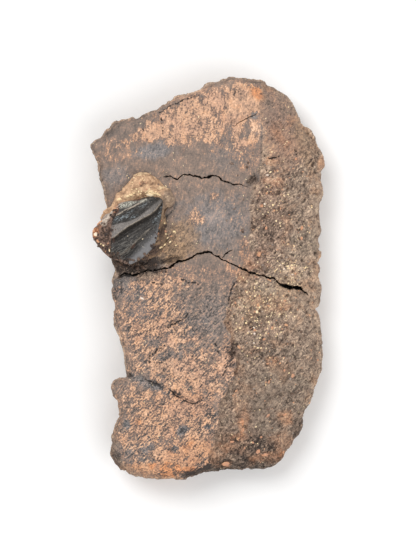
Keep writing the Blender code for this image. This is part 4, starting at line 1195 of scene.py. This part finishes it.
# Painted shade: a nearly black line in the narrow slit along the slot.
SHADED_SLIT = ((-39.8, 8.6), (-38, 10.4), (-36.4, 11.8), (-35, 13.6), (-33.6, 15.2))
note(tooth_mesh, "slit_shade", line_profile(wavy, SHADED_SLIT, 0.75))
note(tooth_mesh, "crown", crown)
note(tooth_mesh, "band", band)
# Painted shade on the band: darker near the slot, where it lies low, and lighter further out.
note(tooth_mesh, "band_shade_from_slot", soft_step(-signed_side(wavy, SLOT), 0.6, 4.4))
# The ridge's face that slopes towards the light, to be painted paler as painted light.
note(tooth_mesh, "lit_ridge", lit_face * near_root)
note(tooth_mesh, "shaded", shaded)
note(tooth_mesh, "lobe", lobe)
# Painted highlights: thin pale lines along the upper line, the lobe's edge and the crest, where they catch
# the light.
HIGHLIT_LINES = ((UPPER_LINE, 0.55, 1), (LOBE_EDGE, 0.6, 0.35), (CREST, 0.5, 0.6))
line_highlights = [line_profile(wavy, line, highlight_width) * share for line, highlight_width, share in HIGHLIT_LINES]
note(tooth_mesh, "edge_highlight", np.max(line_highlights, 0))
skin_z = tooth_places[:, 2] / MM
# How far each point lies below its neighbours, for painted shade in the tooth's hollows.
tooth_cavity_shade = 0.45 * (skin_z - blurred(tooth_mesh, skin_z, 14)) * blend + tooth_relief * (1.0 - blend)
tooth_cavity_shade -= blurred(tooth_mesh, tooth_cavity_shade, 6) * (1.0 - blend)
note(tooth_mesh, "cavity_shade", np.clip(0.5 - tooth_cavity_shade, 0.0, 1.0))

# %% The tooth's finish
tooth = Finish("dark_enamel")
crown_zone, band_zone, lit_ridge, dark, lobe_zone = (
    tooth.noted(name) for name in ("crown", "band", "lit_ridge", "shaded", "lobe")
)
edge_highlight, blue, crust, rust, specks, cavity_shade_mask = (
    tooth.noted(name) for name in ("edge_highlight", "blue", "crust", "rust", "specks", "cavity_shade")
)
fine = tooth.grain(0.6 * MM, 3.0, 0.7)
streaks = tooth.grain(0.7 * MM, 3.0, 0.65, tooth.turned(TOOTH_ANGLE, (0.2, 1.0, 1.0)))
mottle = tooth.grain(2.2 * MM, 4.0, 0.6)
glaze = tooth.mix((streaks * 0.6 + fine * 0.4).within(0.36, 0.66), paint(30, 28, 26), paint(78, 74, 71))
glaze = tooth.mix(dark * 0.8, glaze, tooth.mix(fine.within(0.35, 0.7), paint(28, 25, 23), paint(54, 48, 44)))
ribbing = tooth.grain(0.75 * MM, 1.0, 0.5, tooth.turned(TOOTH_ANGLE, (0.25, 1.0, 1.0)), 1.2)
# Painted shade and highlight on the lobe's ribs: their troughs are darker and their crests lighter, following
# the noise of their bump.
glaze = tooth.mix(lobe_zone * (1.0 - ribbing).within(0.48, 0.6) * 0.7, glaze, paint(20, 18, 17))
glaze = tooth.mix(lobe_zone * ribbing.within(0.52, 0.62) * 0.7, glaze, paint(122, 118, 112))
# Painted light: the ridge's face towards the light is painted paler.
painted_lit_face = tooth.mix(fine.within(0.3, 0.7), paint(104, 99, 96), paint(152, 145, 140))
glaze = tooth.mix(lit_ridge * 0.9, glaze, painted_lit_face)
# The band's grey, with painted shade that darkens it towards the slot.
band_shaded_tone = (tooth.noted("band_shade_from_slot") * 0.55 + fine * 0.75).within(0.35, 0.95)
glaze = tooth.mix(band_zone * 0.9, glaze, tooth.mix(band_shaded_tone, paint(62, 60, 60), paint(118, 116, 117)))
glaze = tooth.mix(fine.within(0.61, 0.71) * (1.0 - lit_ridge * 0.8) * 0.6, glaze, paint(176, 168, 154))
# Painted highlight along the sharp edges.
glaze = tooth.mix(edge_highlight * (streaks * 0.6 + fine * 0.6).within(0.45, 0.62), glaze, paint(178, 164, 148))
# Blue-grey flecks, partly painted glints.
glaze = tooth.mix(blue * (streaks * 0.4 + fine * 0.7).within(0.53, 0.66), glaze, paint(150, 162, 168))
stone = tooth.mix(mottle.within(0.36, 0.6), paint(50, 37, 33), paint(134, 110, 97))
stone = tooth.mix(fine.within(0.6, 0.72) * 0.6, stone, paint(170, 136, 114))
stone = tooth.mix(rust, stone, tooth.mix(fine.within(0.35, 0.6), paint(112, 70, 50), paint(200, 142, 106)))
body = tooth.mix(crown_zone, stone, glaze)
grey_crust = tooth.mix(fine.within(0.4, 0.6), paint(88, 84, 79), paint(196, 194, 180))
pale_crust = tooth.mix(fine.within(0.3, 0.7), paint(148, 132, 120), paint(228, 210, 194))
body = tooth.mix(crust * 0.9, body, grey_crust)
body = tooth.mix(crust * (1.0 - crown_zone) * 0.85, body, pale_crust)
body = tooth.mix(rust * crown_zone * 0.7, body, paint(104, 66, 50))
body = tooth.mix(specks.within(0.4, 0.7), body, paint(236, 216, 186))
# Painted shade in the slit along the slot.
body = tooth.mix(tooth.noted("slit_shade"), body, paint(18, 15, 14))
# Painted shade: the tooth's hollows are made nearly black.
body = tooth.mix(cavity_shade_mask.within(0.55, 0.95) * 0.8, body, paint(22, 19, 18))
tooth.feed("Base Color", body)
tooth.feed("Roughness", 0.86 - crown_zone * 0.44 + fine * 0.16)
tooth.feed("Specular IOR Level", 0.3)
tooth_height = fine * 0.4 + ribbing * lobe_zone * 1.2 + mottle * (1.0 - crown_zone)
tooth_height = tooth_height + streaks * 0.6 * crown_zone * (1.0 - band_zone * 0.8)
tooth.feed("Normal", tooth.bump(tooth_height, 0.3 * MM, 0.7))
tooth_piece = add_piece("ridged_tooth", tooth_mesh, tooth.material, "tooth_enamel", "tooth")

# %% [markdown]
# ## Grains and crumbs
#
# Grains of quartz and ironstone are cemented to the rough side, pale crystals stud the lump, and dark
# crumbs cling to the tooth's root. Each grain is a ball of twenty faces, squashed, turned and
# sunk into whatever lies under it. All the grains of one kind are joined into one piece.

# %% Drop grains onto a surface
LOOK_FROM = 0.1
UP = Vector((0.0, 0.0, 1.0))
WHITE, PINK, CREAM, ORANGE, GREY, BROWN, DARK = 1.0, 0.92, 0.8, 0.58, 0.4, 0.25, 0.0


def add_grains(name, grains, slot, seed, pieces):
    """Grains as (x, y, half width, half length, turn in degrees, tint), in mm, on these pieces."""
    dice = np.random.default_rng(seed)
    depsgraph = bpy.context.evaluated_depsgraph_get()
    trees = [BVHTree.FromObject(piece, depsgraph) for piece in pieces]
    bm = bmesh.new()
    tint_layer = bm.verts.layers.float.new("tint")
    for x, y, half_width, half_length, turn, tint in grains:
        start = Vector((x * MM, y * MM, LOOK_FROM))
        hits = [tree.ray_cast(start, Vector((0.0, 0.0, -1.0)))[:2] for tree in trees]
        hits = [hit for hit in hits if hit[0] is not None]
        if not hits:
            continue
        place, normal = max(hits, key=lambda hit: hit[0].z)
        made = bmesh.ops.create_icosphere(bm, subdivisions=1, radius=1.0)["verts"]
        height = min(half_width, half_length) * dice.uniform(0.55, 0.9)
        size = Matrix.Diagonal((half_length * MM, half_width * MM, height * MM, 1.0))
        spin = Matrix.Rotation(math.radians(turn), 4, "Z") @ Matrix.Rotation(dice.uniform(-0.4, 0.4), 4, "X")
        lean = UP.rotation_difference((normal + 2.0 * UP).normalized()).to_matrix().to_4x4()
        for vert in made:
            vert.co *= dice.uniform(0.78, 1.12)
            vert[tint_layer] = np.clip(tint + dice.uniform(-0.06, 0.06), 0.0, 1.0)
        bmesh.ops.transform(bm, matrix=Matrix.Translation(place) @ lean @ spin @ size, verts=made)
    piece = add_piece(name, as_mesh(bm, name), mineral.material, slot)
    piece.data.shade_flat()


def scatter(count, box, spots, sizes, tints, seed):
    """Grains at random in the box of (x from, x to, y from, y to), kept as often as the spots allow."""
    dice = np.random.default_rng(seed)
    x = dice.uniform(box[0], box[1], count)
    y = dice.uniform(box[2], box[3], count)
    likely = soft_spots(np.stack([x, y, 0.0 * x], 1) * MM, spots, 0.5, seed)
    kept = dice.uniform(0.0, 1.0, count) < likely
    # The power makes most of them small.
    sizes = sizes[0] + (sizes[1] - sizes[0]) * dice.uniform(0.0, 1.0, count) ** 2.5
    lengths = sizes * dice.uniform(1.0, 1.7, count)
    turns = dice.uniform(0.0, 180.0, count)
    tints = dice.choice(tints, count)
    return [tuple(map(float, row)) for row in np.stack([x, y, sizes, lengths, turns, tints], 1)[kept]]


# %% The grains' finish
mineral = Finish("mineral_grains")
tint = mineral.noted("tint")
fine = mineral.grain(0.6 * MM, 3.0, 0.7)
colours = mineral.ramp(
    tint + (fine - 0.5) * 0.3, (0.0, 46, 34, 29), (0.25, 106, 82, 67), (0.4, 164, 152, 142),
    (0.58, 200, 142, 108),
    (0.8, 252, 226, 176), (1.0, 236, 220, 208),
)
mineral.feed("Base Color", mineral.mix(1.0, colours, 0.8 + fine * 0.4, "MULTIPLY"))
mineral.feed("Roughness", 0.45 + fine * 0.4)
mineral.feed("Normal", mineral.bump(fine, 0.15 * MM, 0.5))

# %% Grains on the bone
BONE_GRAINS = [
    (18.8, -6.6, 0.5, 0.7, 20, CREAM), (22.7, -8.5, 0.5, 0.6, 80, CREAM),
    (23.6, -16.2, 0.9, 1, 10, CREAM), (18.4, -21.5, 0.5, 0.7, 0, CREAM),
    (22.7, -20.5, 0.5, 0.6, 40, CREAM), (15.5, -23.9, 0.6, 0.7, 0, CREAM),
    (13.6, -24.4, 0.4, 0.5, 0, CREAM), (32.3, -23.9, 0.4, 0.7, 10, CREAM),
    (34.7, -23.4, 0.4, 0.6, 0, CREAM), (19.3, -26.3, 0.5, 0.5, 0, CREAM),
    (25.1, -28.7, 0.5, 0.6, 60, CREAM), (22.2, -31.1, 0.5, 0.5, 0, WHITE),
    (24.1, -33.5, 0.5, 0.7, 0, CREAM), (25.6, -33.5, 0.4, 0.8, 20, CREAM),
    (16.4, -34.9, 0.4, 0.5, 0, CREAM), (39, -45.5, 0.5, 0.6, 0, CREAM), (26, 34.7, 0.9, 1, 0, ORANGE),
    (31.3, 35.2, 0.6, 0.7, 0, CREAM), (28, 24.1, 0.8, 1.1, 70, ORANGE),
    (32.8, 27.5, 0.5, 0.6, 0, CREAM), (45.2, 24.1, 0.8, 1.4, 70, ORANGE),
    (40.9, -46.9, 0.9, 1.3, 60, ORANGE), (28.9, -66.1, 0.7, 1.3, 50, ORANGE),
    (37.1, -65.6, 0.7, 1.2, 20, ORANGE), (16.4, -69, 0.8, 1.4, 20, ORANGE),
    (16.9, -72.8, 0.7, 1.2, 90, ORANGE), (14.5, -77.2, 0.7, 1.4, 30, ORANGE),
    (11.6, -78.6, 0.6, 1.2, 10, ORANGE), (24.1, -83.4, 1, 1.5, 50, ORANGE),
    (27.5, -84.8, 1, 2, 0, ORANGE), (24.6, 11.6, 1.2, 1.7, 80, ORANGE),
    (26.5, 4.9, 1.4, 1.8, 10, BROWN), (8.8, -89.2, 1.3, 2.2, 10, ORANGE),
    (30.1, 51, 0.5, 0.9, 30, CREAM), (28.6, 49.6, 0.4, 0.9, 0, WHITE),
    (33.4, 51.6, 0.5, 0.8, 60, ORANGE), (27.3, 35.6, 0.5, 0.6, 0, WHITE),
    (38.4, 5.8, 0.4, 1, 20, CREAM), (36.6, 4.4, 0.5, 0.9, 60, WHITE), (40.4, 5, 0.4, 0.8, 120, CREAM),
    (36, 7.2, 0.4, 0.7, 10, CREAM), (-31.6, -9.6, 0.5, 1.3, -30, WHITE),
]
GOLD_TINTS = (CREAM, CREAM, CREAM, 0.7, ORANGE)
BONE_GRAINS += scatter(2100, (8.0, 54.0, -90.0, 84.0), GOLD, (0.18, 0.42), GOLD_TINTS, 71)
ROUGH_AREA = ((35, 20, 22, 38, 0, 0.5), (32, -45, 24, 48, 0, 0.5))
ROUGH_TINTS = (ORANGE, BROWN, BROWN, 0.16, 0.32)
BONE_GRAINS += scatter(1300, (8.0, 54.0, -90.0, 60.0), ROUGH_AREA, (0.25, 0.8), ROUGH_TINTS, 72)
FLAKE_AREA = ((41, 3.6, 7, 3.4, -20, 1), (24, -18, 7, 8, 0, 0.4))
BONE_GRAINS += scatter(300, (14.0, 50.0, -28.0, 8.0), FLAKE_AREA, (0.25, 0.6), (WHITE, CREAM, CREAM), 78)
add_grains("bone_grains", BONE_GRAINS, "frill_bone", 73, [frill])

# %% Crystals on the lump
CRYSTALS = [
    (-27.6, 40.3, 1.4, 2.4, -4, 0.85), (-28.6, 39.5, 0.7, 0.9, 60, CREAM),
    (-24, 40.1, 0.5, 0.8, 0, CREAM), (-22.9, 39.6, 0.4, 0.6, 0, CREAM),
    (-22.4, 43.1, 0.4, 0.8, 10, CREAM), (-20.1, 44.2, 0.4, 0.7, -45, CREAM),
    (-36.6, 39.8, 0.5, 0.8, 10, CREAM), (-38.4, 39.2, 0.5, 0.9, 0, CREAM),
    (-35.2, 40.6, 0.4, 0.6, 0, CREAM), (-33, 41.4, 0.4, 0.8, 90, CREAM),
    (-34, 42.6, 0.4, 0.6, 0, CREAM), (-36.2, 42.4, 0.35, 0.5, 0, CREAM),
    (-32, 40.4, 0.4, 0.7, 70, CREAM), (-42.4, 37.8, 0.7, 1.4, 10, CREAM),
    (-16.4, 22.4, 0.5, 0.7, 40, CREAM), (-19.6, 19.3, 0.6, 0.9, 40, CREAM),
    (-21, 15.9, 0.6, 1.5, 35, CREAM), (-22.6, 14.7, 0.5, 0.9, 35, CREAM),
    (-18.1, 17.4, 0.5, 0.8, 50, CREAM), (-23.4, 24.1, 0.5, 0.8, 40, ORANGE),
    (-23.8, 21.4, 0.5, 0.9, 60, ORANGE), (-20.2, 21.2, 0.4, 0.6, 0, CREAM),
    (-17.6, 20.2, 0.4, 0.6, 0, ORANGE),
]
LUMP_AREA = ((-31, 44, 12, 7, 0, 0.5), (-20, 20, 6, 9, 0, 0.6), (-30, 40.5, 10, 2, 5, 0.9))
CRYSTAL_TINTS = (CREAM, CREAM, ORANGE, BROWN)
CRYSTALS += scatter(360, (-46.0, -14.0, 12.0, 50.0), LUMP_AREA, (0.22, 0.6), CRYSTAL_TINTS, 74)
add_grains("lump_crystals", CRYSTALS, "sandy_matrix", 75, [lump, frill])

# %% Crumbs round the root
ROOT_CRUMBS = [
    (-53.3, 21, 1.1, 1.3, 30, PINK), (-54.2, 22.6, 0.9, 1.4, 60, ORANGE),
    (-50.8, 16.6, 0.6, 0.8, 20, CREAM), (-49.6, 15.7, 0.6, 0.8, 0, CREAM),
    (-47.6, 16.4, 0.5, 0.8, 60, ORANGE), (-46.9, 13.6, 0.5, 1.3, 100, CREAM),
    (-48.8, 12.8, 0.5, 0.9, 30, ORANGE), (-52.4, 17.8, 0.7, 1.2, -50, ORANGE),
    (-51.2, 16, 0.6, 1.1, -40, BROWN), (-51.6, 26.4, 0.6, 2, 42, ORANGE), (-48.8, 29, 1.1, 4, 44, GREY),
    (-44.2, 33.2, 0.6, 1.2, 100, ORANGE),
]
ROOT_AREA = (
    (-49.5, 19, 4, 6, -30, 1), (-44, 10.5, 6, 2, -25, 1), (-38, 7, 4, 2, -30, 1),
    (-44.5, 31.5, 1.5, 3, -20, 0.7), (-29, 10, 1.2, 5, -50, 0.8), (-31, 6.5, 12, 2.6, -4, 0.8),
    (-26.4, 14, 0.9, 3.6, -32, 1), (-31.6, 9, 4.4, 0.9, 36, 1), (-24, 20.5, 0.8, 3.6, -12, 0.9),
)
CRUMB_TINTS = (DARK, DARK, 0.05, 0.12, 0.2, BROWN)
ROOT_CRUMBS += scatter(1100, (-55.0, -18.0, 3.0, 35.0), ROOT_AREA, (0.3, 0.95), CRUMB_TINTS, 76)
add_grains("root_crumbs", ROOT_CRUMBS, "tooth_enamel", 77, [tooth_piece, lump, frill])
